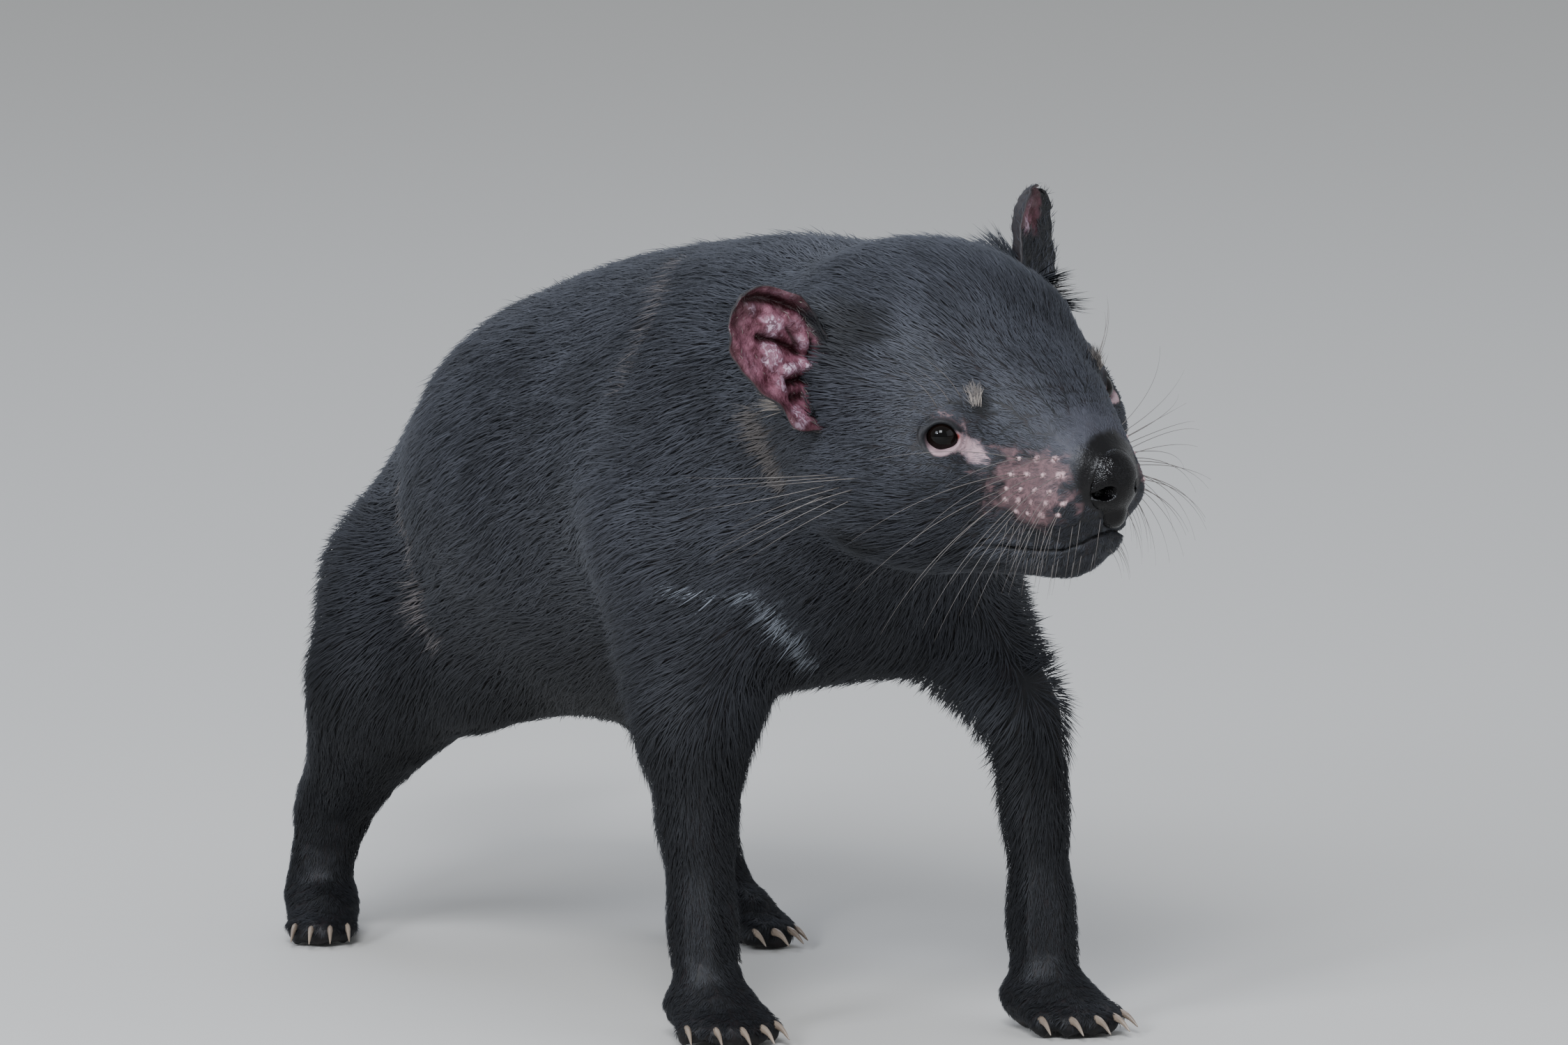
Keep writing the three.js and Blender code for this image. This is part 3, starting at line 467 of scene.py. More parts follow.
def keep_largest(piece):
    take(piece)
    bpy.ops.object.mode_set(mode="EDIT")
    bpy.ops.mesh.select_all(action="SELECT")
    bpy.ops.mesh.separate(type="LOOSE")
    bpy.ops.object.mode_set(mode="OBJECT")
    found = sorted(bpy.context.selected_objects, key=lambda one: len(one.data.vertices))
    largest = found.pop()
    for scrap in found:
        bpy.data.objects.remove(scrap)
    take(largest)
    return largest


def weigh(piece, name, values):
    """A vertex group with a weight for each vertex."""
    group = piece.vertex_groups.new(name=name)
    for level in np.unique(np.round(values, 1)):
        group.add([int(i) for i in np.nonzero(np.round(values, 1) == level)[0]], float(level), "REPLACE")
    return group


def breadth(points):
    """1 where the body's forms are broad, 0 at the face and the paws."""
    off_nose = np.linalg.norm(points - NOSE_MIDDLE, axis=1)
    return ease(off_nose, 0.075, 0.13) * ease(points[:, 2], 0.04, 0.075)


def coat_depth(points):
    """How far the skin lies under the tips of the coat."""
    return np.maximum(0.22 * coat_length(points), 0.3) * MM


def face_crease(piece):
    """The line of the mouth as a crease sunk about two millimetres under an overhanging lip, with painted shade along
    it, and the groove under the nose.
    """
    tree = tree_of(piece)
    points = points_of(piece)
    head = to_head(points)
    inward = np.zeros_like(head)
    dark = np.zeros(len(head))
    for sign in SIDES.values():
        path = []
        for angle, rise in MOUTH_LINE:
            way = np.array((math.cos(math.radians(angle)), sign * math.sin(math.radians(angle)), 0.0))
            hub = MOUTH_HUB_MM + (0, 0, rise)
            start = from_head(hub + way * 70)
            hit = tree.ray_cast(Vector(start), Vector(-way_from_head(way)))[0]
            path.append(to_head([hit])[0])
        away = distance_to_path(head, path)
        height = head[:, 2] - np.interp(np.abs(head[:, 1]), [abs(p[1]) for p in path], [p[2] for p in path])
        to_hub = unit((MOUTH_HUB_MM - head) * (1, 1, 0.2))
        crease = 2.0 * np.exp(-((away / 0.75) ** 2))
        lip = 0.8 * np.exp(-(((away - 2.6) / 1.5) ** 2)) * np.where(height > 0, 1.0, 0.35)
        inward += to_hub * (crease - lip)[:, None]
        # Painted shade along the mouth line, for the skin's material.
        dark = np.maximum(dark, np.exp(-((away / 0.8) ** 2)))
    groove = np.exp(-((head[:, 1] / 0.8) ** 2)) * ease(head[:, 0], 60, 74) * (1 - ease(head[:, 2], -68, -62))
    inward[:, 0] -= 0.9 * groove
    move_points(piece, from_head(head + inward))
    write_attribute(piece, "crease", dark)


def lid_height(base, reach, past, up_share):
    """How far out of the eyeball's middle the lid stands: the skin, the lid's ball, its rim and its folds."""
    ball = np.sqrt(np.maximum((EYE_RADIUS_MM + 1.3) ** 2 - reach**2, 0.01))
    melt = np.maximum(2.4 - np.abs(base - ball), 0) / 2.4
    height = np.maximum(base, ball) + melt**3 * 2.4 / 6
    fold = 0.45 * np.exp(-(((past - 2.9) / 0.5) ** 2)) - 0.3 * np.exp(-(((past - 4.3) / 0.8) ** 2))
    crow = 0.14 * np.sin(past * 3.4)
    height = height - fold * up_share - (1 - up_share) * crow * np.exp(-(((past - 3.4) / 1.6) ** 2))
    eyeball = np.sqrt(np.maximum((EYE_RADIUS_MM + 0.05) ** 2 - reach**2, 0.01))
    rounding = np.sqrt(np.clip(past / 0.9, 0, 1))
    return eyeball + (height - eyeball) * np.where(past < 0.9, rounding, 1.0)


RING_STEPS_MM = [-0.7, 0.0, 0.08, 0.22, 0.42, 0.7, 1.05, 1.4, 1.8, 2.2, 2.6, 3.0, 3.4, 3.9, 4.4, 5.0]


def make_lids(piece, side):
    """Opens the skin over an eyeball and sets lids round the opening, ring by ring."""
    tree = tree_of(piece)
    centre, axes = eye_axes(side)
    outward = Vector(axes[2])
    mesh = bmesh.new()
    mesh.from_mesh(piece.data)
    local = in_eye([v.co for v in mesh.verts], side)
    inside = (np.hypot(local[:, 0], local[:, 1]) < LID_RING_MM) & (local[:, 2] > -2)
    doomed = [v for v, one in zip(mesh.verts, inside) if one]
    bmesh.ops.delete(mesh, geom=doomed, context="VERTS")
    near = lambda v: np.linalg.norm(np.array(v.co) - centre) < 0.022
    loose = {e for e in mesh.edges if e.is_boundary and near(e.verts[0])}
    edge = loose.pop()
    loop = [edge.verts[0], edge.verts[1]]
    while True:
        ahead = [e for e in loop[-1].link_edges if e in loose]
        if not ahead:
            break
        loose.discard(ahead[0])
        loop.append(ahead[0].other_vert(loop[-1]))
    if loop[0] is loop[-1]:
        loop.pop()
    rim = in_eye([v.co for v in loop], side)
    angles = np.unwrap(np.arctan2(rim[:, 1], rim[:, 0]))
    turning = 1 if angles[-1] > angles[0] else -1
    even = angles[0] + turning * 2 * np.pi * np.arange(len(loop)) / len(loop)
    outermost = np.hypot(rim[:, 0], rim[:, 1])
    rings = [loop]
    last = RING_STEPS_MM[-1] + 1.5
    for step in reversed(RING_STEPS_MM):
        share = max(step / last, 0) ** 2
        turn = even * (1 - share) + angles * share
        opening = opening_radius(turn)
        free = outermost - opening
        reach = opening + (step / last * np.minimum(free, last) if step > 0 else step)
        u, v = reach * np.cos(turn), reach * np.sin(turn)
        starts = centre + np.stack([u, v, np.full(len(u), 30.0)], axis=1) * MM @ axes
        hits = [tree.ray_cast(Vector(start), -outward)[0] for start in starts]
        base = in_eye(hits, side)[:, 2]
        up_share = ease(np.sin(turn), -0.2, 0.35)
        past = np.full(len(loop), max(step, 0.0))
        if step < 0:
            height = np.sqrt((EYE_RADIUS_MM - 0.5) ** 2 - reach**2)
        else:
            height = lid_height(base, reach, past, up_share)
        spots = centre + np.stack([u, v, height], axis=1) * MM @ axes
        rings.append([mesh.verts.new(spot) for spot in spots])
    for outer, inner in zip(rings[:-1], rings[1:]):
        for n in range(len(loop)):
            m = (n + 1) % len(loop)
            mesh.faces.new((outer[n], outer[m], inner[m], inner[n]))
    mesh.faces.new(rings[-1])  # closes the socket, inside the eyeball
    bmesh.ops.recalc_face_normals(mesh, faces=mesh.faces)
    mesh.to_mesh(piece.data)
    mesh.free()
    piece.data.update()


def refine_face(piece):
    """Halves the facets round the eyes, the muzzle and the mouth."""
    mesh = bmesh.new()
    mesh.from_mesh(piece.data)
    mesh.verts.ensure_lookup_table()
    points = np.array([v.co for v in mesh.verts])
    chosen = np.linalg.norm(to_head(points) - NOSE_MM, axis=1) < 46
    for side in SIDES:
        chosen |= np.linalg.norm(in_eye(points, side), axis=1) < 17
    edges = [e for e in mesh.edges if chosen[e.verts[0].index] and chosen[e.verts[1].index]]
    bmesh.ops.subdivide_edges(mesh, edges=edges, cuts=1, use_grid_fill=True)
    bmesh.ops.triangulate(mesh, faces=[f for f in mesh.faces if len(f.verts) > 3])
    mesh.to_mesh(piece.data)
    mesh.free()


# Skin of a live animal: soft, faintly moist and dark where fur grows, pink and creased where it is bare.
DARK_SKIN = "#17181b"
# Near black laid on as painted shade, in the hollows of the head and on the low body.
PAINTED_SHADE_FUR = "#09090a"
PAD_SKIN = "#6d5457"
PAD_FUR = "#5c4a4c"
LEATHER_SKIN = "#0b0a0b"
PALE_FUR = "#b7ab9e"
BLAZE_FUR = "#71767e"
WARM_FUR = "#554f4b"
# Bluish grey laid on as a painted sheen over the bridge of the muzzle.
PAINTED_SHEEN_FUR = "#45464e"
SPOT_SKIN = "#c0a4a6"


def named(tree, name):
    return add_node(tree, "Attribute", attribute_name=name).outputs["Fac"]


def layer(tree, base, over, share):
    """Lays one colour over another by a share. Each colour is a code, a setting or what a node gives."""
    made = add_node(tree, "Mix", data_type="RGBA")
    tree.links.new(share, made.inputs[0])
    for entry, colour in zip((made.inputs[6], made.inputs[7]), (base, over)):
        if isinstance(colour, bpy.types.NodeSocket):
            tree.links.new(colour, entry)
        else:
            entry.default_value = rgba(colour) if isinstance(colour, str) else tuple(colour)
    return made.outputs[2]


def skin_material():
    """Bare and furred skin. Creases about half a millimetre apart and pores give it a matt, soft grain."""
    material, tree = new_material("mammal_skin")
    place = add_node(tree, "TexCoord").outputs["Object"]
    grain = add_node(tree, "TexNoise", {"Scale": 900.0, "Detail": 4.0, "Roughness": 0.6}, {"Vector": place})
    mottle = add_node(tree, "TexNoise", {"Scale": 160.0, "Detail": 3.0}, {"Vector": place})
    # Painted sheen: bluish grey over the bridge of the muzzle.
    colour = layer(tree, DARK_SKIN, PAINTED_SHEEN_FUR, named(tree, "bridge"))
    # Painted shade: near black over the shaded hollows and the low body.
    colour = layer(tree, colour, PAINTED_SHADE_FUR, named(tree, "black"))
    colour = layer(tree, colour, PAD_SKIN, named(tree, "pad"))
    colour = layer(tree, colour, WARM_FUR, named(tree, "warm"))
    colour = layer(tree, colour, settings().bare_skin, named(tree, "pink"))
    colour = layer(tree, colour, BLAZE_FUR, named(tree, "blaze"))
    dark = add_node(tree, "MapRange", {"From Min": 0.45, "From Max": 0.8, "To Max": 0.5}, {"Value": mottle.outputs["Fac"]})
    colour = layer(tree, colour, "#2a2023", dark.outputs["Result"])
    colour = layer(tree, colour, LEATHER_SKIN, named(tree, "leather"))
    colour = layer(tree, colour, SPOT_SKIN, named(tree, "spots"))
    colour = layer(tree, colour, "#7c3a36", named(tree, "tear"))
    # Painted shade: near black along the mouth line's crease.
    colour = layer(tree, colour, "#060506", named(tree, "crease"))
    bump = add_node(tree, "Bump", {"Strength": 0.5, "Distance": 0.0004}, {"Height": grain.outputs["Fac"]})
    rough = add_node(tree, "MapRange", {"To Min": 0.55, "To Max": 0.24}, {"Value": named(tree, "leather")})
    shader = add_node(
        tree,
        "BsdfPrincipled",
        {"IOR": 1.36},
        {"Base Color": colour, "Normal": bump.outputs["Normal"], "Roughness": rough.outputs["Result"]},
    )
    add_node(tree, "OutputMaterial", links={"Surface": shader.outputs["BSDF"]})
    return material


def plug_of_ear(side):
    """The foot of an ear, cut off where it leaves the head, which fills its slot in the skin."""
    ear = EARS[side]
    plug = copy_of([f"ear_{side}"], f"ear_plug_{side}")
    way = unit(np.subtract(ear["tip"], ear["root"]).astype(float))
    bpy.ops.object.mode_set(mode="EDIT")
    bpy.ops.mesh.select_all(action="SELECT")
    bpy.ops.mesh.bisect(
        plane_co=from_head(np.array(ear["root"]) + way * 2), plane_no=way_from_head(way), use_fill=True, clear_outer=True
    )
    bpy.ops.object.mode_set(mode="OBJECT")
    return plug


def tree_of_solids(names):
    """A search tree over the faces of some solids, and the solid that each face belongs to."""
    corners, owner = [], []
    for name in names:
        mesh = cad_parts[name].data
        mesh.calc_loop_triangles()
        flat = np.empty(len(mesh.vertices) * 3, np.float32)
        mesh.vertices.foreach_get("co", flat)
        triangles = np.empty(len(mesh.loop_triangles) * 3, np.int32)
        mesh.loop_triangles.foreach_get("vertices", triangles)
        corners.append(flat.reshape(-1, 3)[triangles])
        owner += [name] * (len(triangles) // 3)
    corners = np.concatenate(corners)
    return BVHTree.FromPolygons(corners.tolist(), np.arange(len(corners)).reshape(-1, 3).tolist()), owner


def seat_nose(piece):
    """Sinks the skin behind the bare pad of the nose, so that the nostrils are open."""
    tree = tree_of_solids(["head", "jaw"])[0]
    points = points_of(piece)
    head = to_head(points)
    close = np.nonzero(np.linalg.norm(head - NOSE_MM, axis=1) < 22)[0]
    free = np.array([tree.find_nearest(Vector(points[i]))[3] for i in close]) / MM
    hollow = NOSE_MM + (-13.0, 0.0, -2.0)
    off_hole = np.full(len(close), np.inf)
    for sign in SIDES.values():
        hole = NOSE_MM + np.array([(10.5, 6.4 * sign, -2.6), (7.5, 9 * sign, -3.4), (-2, 14.5 * sign, -3.2)])
        off_hole = np.minimum(off_hole, distance_to_path(head[close], hole))
    share = ((0.09 + 0.53 * (1 - ease(off_hole, 3.0, 6.5))) * ease(free, 1.0, 4.5))[:, None]
    head[close] += (hollow - head[close]) * share
    move_points(piece, from_head(head))


def shrink_to_skin(piece):
    """Moves the outer form inward by the depth of the coat."""
    points, normals = points_of(piece), normals_of(piece)
    move_points(piece, points - normals * coat_depth(points)[:, None])
    finish_with(piece, "SMOOTH", factor=0.5, iterations=2)


def write_skin_marks(piece):
    """The shared markings, the pink of the lids with a painted highlight along the upper lid's fold, and the red of the
    eyes' inner corners, for the skin's material.
    """
    points = points_of(piece)
    write_markings(piece, points)
    pink = np.zeros(len(points))
    for side in SIDES:
        past, local = past_opening(points, side)
        near = local[:, 2] > 0
        below = 1 - ease(local[:, 1], -1.0, 2.5)
        below = below * ease(local[:, 0], -6.5, -3.0)
        rim = 1 - ease(past, 0.4 + 1.2 * below, 0.9 + 1.5 * below)
        pink = np.maximum(pink, rim * near * below)
        # Painted highlight: mauve pink along the fold over the upper lid.
        fold = np.exp(-(((past - 3.6) / 1.0) ** 2)) * (1 - below) * near * ease(local[:, 0], -4, 1)
        pink = np.maximum(pink, 0.5 * fold)
    pink = np.maximum(pink, markings(points)["eye_patch"])
    write_attribute(piece, "pink", pink)
    tear = np.zeros(len(points))
    for side in SIDES:
        local = in_eye(points, side)
        corner = np.hypot(local[:, 0] - 5.6, local[:, 1] + 0.6)
        tear = np.maximum(tear, (1 - ease(corner, 0.5, 1.7)) * (local[:, 2] > 0))
    write_attribute(piece, "tear", tear)


class DEVIL_OT_skin(bpy.types.Operator):
    """Makes the one skin from copies of the flesh solids, under the depth of the coat, with lids and mouth"""

    bl_idname = "devil.skin"
    bl_label = "Skin"

    def execute(self, context):
        plugs = [plug_of_ear(side) for side in EARS]
        body = copy_of(FLESH + ["nose", "eye_left", "eye_right"], "body")
        take(body, *plugs)
        bpy.ops.object.join()
        finish_with(body, "REMESH", mode="VOXEL", voxel_size=settings().skin_facet)
        skin = keep_largest(body)
        skin.name = skin.data.name = "skin"
        finish_with(skin, "SMOOTH", factor=0.5, iterations=6)
        weigh(skin, "broad", breadth(points_of(skin)))
        finish_with(skin, "SMOOTH", factor=0.5, iterations=60, vertex_group="broad")
        finish_with(skin, "DECIMATE", ratio=settings().skin_share, vertex_group="broad", use_collapse_triangulate=True)
        refine_face(skin)
        shrink_to_skin(skin)
        face_crease(skin)
        seat_nose(skin)
        for side in SIDES:
            make_lids(skin, side)
        skin.vertex_groups.clear()
        skin.data.shade_smooth()
        write_skin_marks(skin)
        skin.data.materials.clear()
        skin.data.materials.append(skin_material())
        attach(skin, "root")
        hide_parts(*FLESH)
        return {"FINISHED"}


# The coat: slender spindles of three sides, rooted in the skin and lying along the body.
PIECE_TUFTS = 32000
# Tufts to a square centimetre of skin where the fur is as long as on the trunk, and how that grows as it shortens.
TRUNK_TUFTS = 65.0


def coat_density(points, normals):
    """Tufts to a square metre: more where they are shorter, none where the skin is bare."""
    length = coat_length(points) / (settings().body_fur * 1000)
    density = TRUNK_TUFTS * 1e4 * np.clip(length, 0.14, 1.3) ** -0.85
    bare = np.zeros(len(points))
    for side in SIDES:
        past, local = past_opening(points, side)
        bare = np.maximum(bare, (1 - ease(past, 1.6, 3.4)) * (local[:, 2] > -3))
    marks = markings(points)
    bare = np.maximum(bare, 0.7 * marks["eye_patch"])
    bare = np.maximum(bare, 0.3 * marks["pad"])
    bare = np.maximum(bare, marks["leather"])
    bare = np.maximum(bare, 0.9 * marks["spots"])
    sole = 1 - ease(points[:, 2], 0.004, 0.008)
    return density * (1 - np.maximum(bare, sole))


def parts_of_skin(centres):
    """The coat's region at each place, from the solid that lies nearest."""
    tree, owner = tree_of_solids(FLESH)
    found = [owner[tree.find_nearest(Vector(c))[2]] for c in centres]
    region = {"torso": "torso", "neck": "neck", "tail": "tail", "head": "head", "jaw": "head"}
    return np.array([region.get(name, name.rsplit("_", 2)[0].split("_")[0] + "_legs") for name in found])


def roots_on(piece, density, random):
    """Places of the tufts, spread over a piece by a density to the square metre, with its normal there."""
    mesh = piece.data
    mesh.calc_loop_triangles()
    triangles = np.empty(len(mesh.loop_triangles) * 3, np.int32)
    mesh.loop_triangles.foreach_get("vertices", triangles)
    triangles = triangles.reshape(-1, 3)
    points, normals = points_of(piece), normals_of(piece)
    a, b, c = (points[triangles[:, n]] for n in range(3))
    area = np.linalg.norm(np.cross(b - a, c - a), axis=1) / 2
    middles = (a + b + c) / 3
    facing = unit(normals[triangles].mean(axis=1))
    expected = area * density(middles, facing)
    running = np.cumsum(expected)
    count = int(running[-1])
    marks = np.arange(count) + random.uniform(0, 1, count)
    chosen = np.searchsorted(running, np.minimum(marks, running[-1] * 0.999999))
    u, v = random.uniform(0, 1, (2, count))
    fold = u + v > 1
    u[fold], v[fold] = 1 - u[fold], 1 - v[fold]
    picked = triangles[chosen]
    w = (1 - u - v)[:, None]
    u, v = u[:, None], v[:, None]
    places = points[picked[:, 0]] * w + points[picked[:, 1]] * u + points[picked[:, 2]] * v
    ways = unit(normals[picked[:, 0]] * w + normals[picked[:, 1]] * u + normals[picked[:, 2]] * v)
    return places, ways


def clump_pull(points, size, seed):
    """The way from each place to the middle of the clump that it belongs to, clumps being about size across."""
    table = np.random.default_rng(seed).uniform(0, 1, (WANDER_SIZE,) * 3 + (3,))
    cell = np.floor(points / size).astype(int)
    best = np.full(len(points), np.inf)
    pull = np.zeros_like(points)
    for step in np.ndindex(3, 3, 3):
        near = cell + np.array(step) - 1
        i, j, k = (near % WANDER_SIZE).T
        middle_of_clump = (near + table[i, j, k]) * size
        away = middle_of_clump - points
        reach = np.linalg.norm(away, axis=1)
        closer = reach < best
        best[closer] = reach[closer]
        pull[closer] = away[closer]
    return pull


def turned(ways, normals, angles):
    """Ways turned about the normals."""
    c, s = np.cos(angles)[:, None], np.sin(angles)[:, None]
    return ways * c + np.cross(normals, ways) * s


def grow_tufts(places, normals, length, flow, random):
    """The five corners of each tuft: its root, three round its thickest place and its tip."""
    count = len(places)
    length = length * random.uniform(0.72, 1.2, count)
    swirl = 0.30 * wander(places, 0.045) + 0.22 * wander(places, 0.014, 5) + random.normal(0, 0.13, count)
    flow = turned(flow, normals, swirl)
    lift = np.radians(random.normal(15, 4, count) + 4 * wander(places, 0.02, 9))
    settle = np.radians(random.normal(4, 3, count))
    stray = random.uniform(0, 1, count) < 0.03
    settle[stray] += np.radians(random.uniform(4, 18, stray.sum()))
    pull = clump_pull(places, 0.0046, 3)
    pull -= normals * np.sum(pull * normals, axis=1, keepdims=True)
    rise = lambda angle: flow * np.cos(angle)[:, None] + normals * np.sin(angle)[:, None]
    reach = (length * MM)[:, None]
    root = places - normals * np.minimum(0.0004, 0.1 * reach)
    bend = places + rise(lift) * reach * 0.42 + pull * 0.14
    tip = bend + rise(settle) * reach * 0.58 + pull * 0.3
    across = np.cross(flow, normals)
    width = (0.21 + 0.014 * length) * random.uniform(0.75, 1.25, count) * MM
    half = (width / 2)[:, None]
    return np.stack([root, bend - across * half, bend + across * half, bend + normals * half * 0.9, tip], axis=1)


TUFT_FACES = [(0, 1, 2), (0, 3, 1), (0, 2, 3), (4, 2, 1), (4, 1, 3), (4, 3, 2)]


def patch_places(places, normals):
    """Where each root lies on an unwrap of the skin's shape: six sides, laid out in three columns and two rows."""
    strongest = np.argmax(np.abs(normals), axis=1)
    rows = (normals[np.arange(len(normals)), strongest] > 0).astype(int)
    low, span = places.min(0), np.ptp(places, axis=0).max() * 1.02 + 1e-6
    flat = (places - low) / span
    first = np.where(strongest == 0, flat[:, 1], flat[:, 0])
    second = np.where(strongest == 2, flat[:, 1], flat[:, 2])
    return np.stack([(strongest + 0.03 + 0.94 * first) / 3, (rows + 0.03 + 0.94 * second) / 2], axis=1)


PATCH_SIZE = 0.003
PATCH_CORNERS = np.array([(0.5, 0), (0, 0.5), (1, 0.5), (0.5, 0.5), (0.5, 1)]) - 0.5


def tuft_piece(name, corners, places, normals, marks, material):
    """One mesh of many tufts, shaded as the skin under them, with their markings and their patches of the OFBake map."""
    count = len(corners)
    mesh = bpy.data.meshes.new(name)
    mesh.vertices.add(count * 5)
    mesh.vertices.foreach_set("co", corners.astype(np.float32).ravel())
    faces = (np.arange(count)[:, None, None] * 5 + np.array(TUFT_FACES)[None]).reshape(-1)
    mesh.loops.add(len(faces))
    mesh.loops.foreach_set("vertex_index", faces.astype(np.int32))
    mesh.polygons.add(len(faces) // 3)
    mesh.polygons.foreach_set("loop_start", np.arange(0, len(faces), 3, dtype=np.int32))
    mesh.update(calc_edges=True)
    mesh.shade_smooth()
    across = 0.3 * unit(corners[:, 2] - corners[:, 1])
    soft = unit(np.stack([normals, normals - across, normals + across, normals, normals], axis=1).reshape(-1, 3))
    mesh.normals_split_custom_set_from_vertices(soft.tolist())
    piece = bpy.data.objects.new(name, mesh)
    bpy.context.scene.collection.objects.link(piece)
    spots = patch_places(places, normals)[:, None] + PATCH_CORNERS[None] * PATCH_SIZE
    layer_made = mesh.uv_layers.new(name="OFBake")
    layer_made.data.foreach_set("uv", spots.reshape(-1, 2)[faces].astype(np.float32).ravel())
    for mark, values in marks.items():
        write_attribute(piece, mark, np.repeat(values, 5))
    mesh.materials.append(material)
    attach(piece, "root")
    return piece


def shades(places, random):
    """How light each tuft is, in patches and one by one, with painted shade that darkens the tufts low on the body."""
    tone = 0.47 + 0.26 * wander(places, 0.006, 2) + 0.2 * wander(places, 0.03, 4) + random.normal(0, 0.16, len(places))
    # Painted shade: darker towards the bottom, below about 190 mm and darkest at 60 mm and under.
    return np.clip(tone, 0, 1) * np.interp(places[:, 2], [0.06, 0.15, 0.19], [0.12, 0.45, 1.0])


def fur_material():
    """Guard hair: keratin, near black, with a cool gleam along it where it catches a wide light."""
    material, tree = new_material("guard_hair")
    shade = named(tree, "shade")
    # The tone of each tuft holds the painted shade low on the body.
    colour = layer(tree, settings().fur_dark, settings().fur_light, shade)
    # Painted sheen: bluish grey over the bridge of the muzzle.
    colour = layer(tree, colour, PAINTED_SHEEN_FUR, named(tree, "bridge"))
    # Painted shade: near black over the shaded hollows and the low body.
    colour = layer(tree, colour, PAINTED_SHADE_FUR, named(tree, "black"))
    colour = layer(tree, colour, PAD_FUR, named(tree, "pad"))
    colour = layer(tree, colour, "#84757a", named(tree, "eye_patch"))
    colour = layer(tree, colour, WARM_FUR, named(tree, "warm"))
    colour = layer(tree, colour, "#544f4e", named(tree, "streak"))
    colour = layer(tree, colour, BLAZE_FUR, named(tree, "blaze"))
    colour = layer(tree, colour, PALE_FUR, named(tree, "pale"))
    shader = add_node(
        tree,
        "BsdfPrincipled",
        {
            "Roughness": 0.6,
            "IOR": 1.5,
            "Specular Tint": rgba("#e2e5ec"),
            "Sheen Weight": 0.06,
            "Sheen Roughness": 0.5,
            "Sheen Tint": rgba("#d3dae6"),
        },
        {"Base Color": colour},
    )
    add_node(tree, "OutputMaterial", links={"Surface": shader.outputs["BSDF"]})
    return material


class DEVIL_OT_coat(bpy.types.Operator):
    """Grows the coat over the skin, in pieces by region"""

    bl_idname = "devil.coat"
    bl_label = "Coat"

    def execute(self, context):
        random = np.random.default_rng(11)
        skin = bpy.data.objects["skin"]
        places, normals = roots_on(skin, coat_density, random)
        marks = markings(places)
        length = coat_length(places) * (1 - 0.4 * marks["pad"])
        corners = grow_tufts(places, normals, length, coat_flow(places, normals), random)
        marks["shade"] = shades(places, random)
        region = parts_of_skin(places)
        material = bpy.data.materials.get("guard_hair") or fur_material()
        for name in sorted(set(region)):
            members = np.nonzero(region == name)[0]
            members = members[np.argsort(places[members, 0])]
            for number, share in enumerate(np.array_split(members, math.ceil(len(members) / PIECE_TUFTS)), start=1):
                own = {mark: values[share] for mark, values in marks.items()}
                tuft_piece(f"coat_{name}_{number}", corners[share], places[share], normals[share], own, material)
        return {"FINISHED"}


# Locks of longer hair on the head: the root and the way it points in the head's frame, how wide its foot is and
# how long its hairs are in millimetres, how far they fan out, how many there are and how pale they are.
LOCKS = [
    ((49.6, -30.4, -28.0), (-0.15, 0.2, 1.0), 1.3, 7.5, 0.22, 80, 0.55),
    ((48.8, -29.7, -24.5), (-0.25, 0.2, 1.0), 2.4, 6.0, 0.3, 90, 0.3),
    ((49.6, 30.4, -28.0), (-0.15, -0.2, 1.0), 1.3, 7.5, 0.22, 80, 0.55),
    ((48.8, 29.7, -24.5), (-0.25, -0.2, 1.0), 2.4, 6.0, 0.3, 90, 0.3),
    ((-30.0, -62.0, -27.0), (-0.8, -0.5, 0.25), 2.0, 10.0, 0.12, 45, 0.6),
    ((8.0, 52.0, 1.0), (0.75, 0.6, 0.3), 2.2, 14.0, 0.12, 60, 0.0),
    ((8.0, 52.0, -4.0), (0.75, 0.6, 0.12), 1.6, 13.0, 0.10, 40, 0.9),
    ((9.0, 51.0, -9.0), (0.8, 0.6, -0.05), 2.2, 15.0, 0.12, 60, 0.0),
]


class DEVIL_OT_locks(bpy.types.Operator):
    """Sets the pale fans of hair over the eyes and the long locks beside the ears"""

    bl_idname = "devil.locks"
    bl_label = "Locks"

    def execute(self, context):
        random = np.random.default_rng(23)
        tree = tree_of(bpy.data.objects["skin"])
        found = [[], [], [], [], []]
        for root, way, foot, reach, fan, count, pale in LOCKS:
            near = from_head(np.array(root) + random.normal(0, foot / 2, (count, 3)))
            hits = [tree.find_nearest(Vector(one))[:2] for one in near]
            places, normals = (np.array([hit[n] for hit in hits]) for n in range(2))
            flow = unit(way_from_head(way) + fan * random.normal(0, 1, (count, 3)))
            normals = unit(normals - flow * np.sum(flow * normals, axis=1, keepdims=True))
            tone = np.clip(pale * random.uniform(0.3, 1.2, count), 0, 1)
            for held, values in zip(found, (places, normals, flow, np.full(count, reach), tone)):
                held.append(values)
        places, normals, flow, length, tone = (np.concatenate(held) for held in found)
        corners = grow_tufts(places, normals, length, flow, random)
        marks = {name: np.zeros(len(places)) for name in markings(places[:1])}
        marks["shade"] = shades(places, random)
        marks["pale"] = tone
        fur = bpy.data.materials.get("guard_hair") or fur_material()
        tuft_piece("coat_locks", corners, places, normals, marks, fur)
        return {"FINISHED"}


# The bare parts.
def ball(name, centre, radii, segments=32):
    """A ball stretched to its radii, in millimetres in the head's frame."""
    take_nothing()
    bpy.ops.mesh.primitive_uv_sphere_add(segments=segments, ring_count=segments // 2, radius=1.0)
    made = bpy.context.object
    made.name = made.data.name = name
    move_points(made, from_head(points_of(made) * radii + centre))
    return made


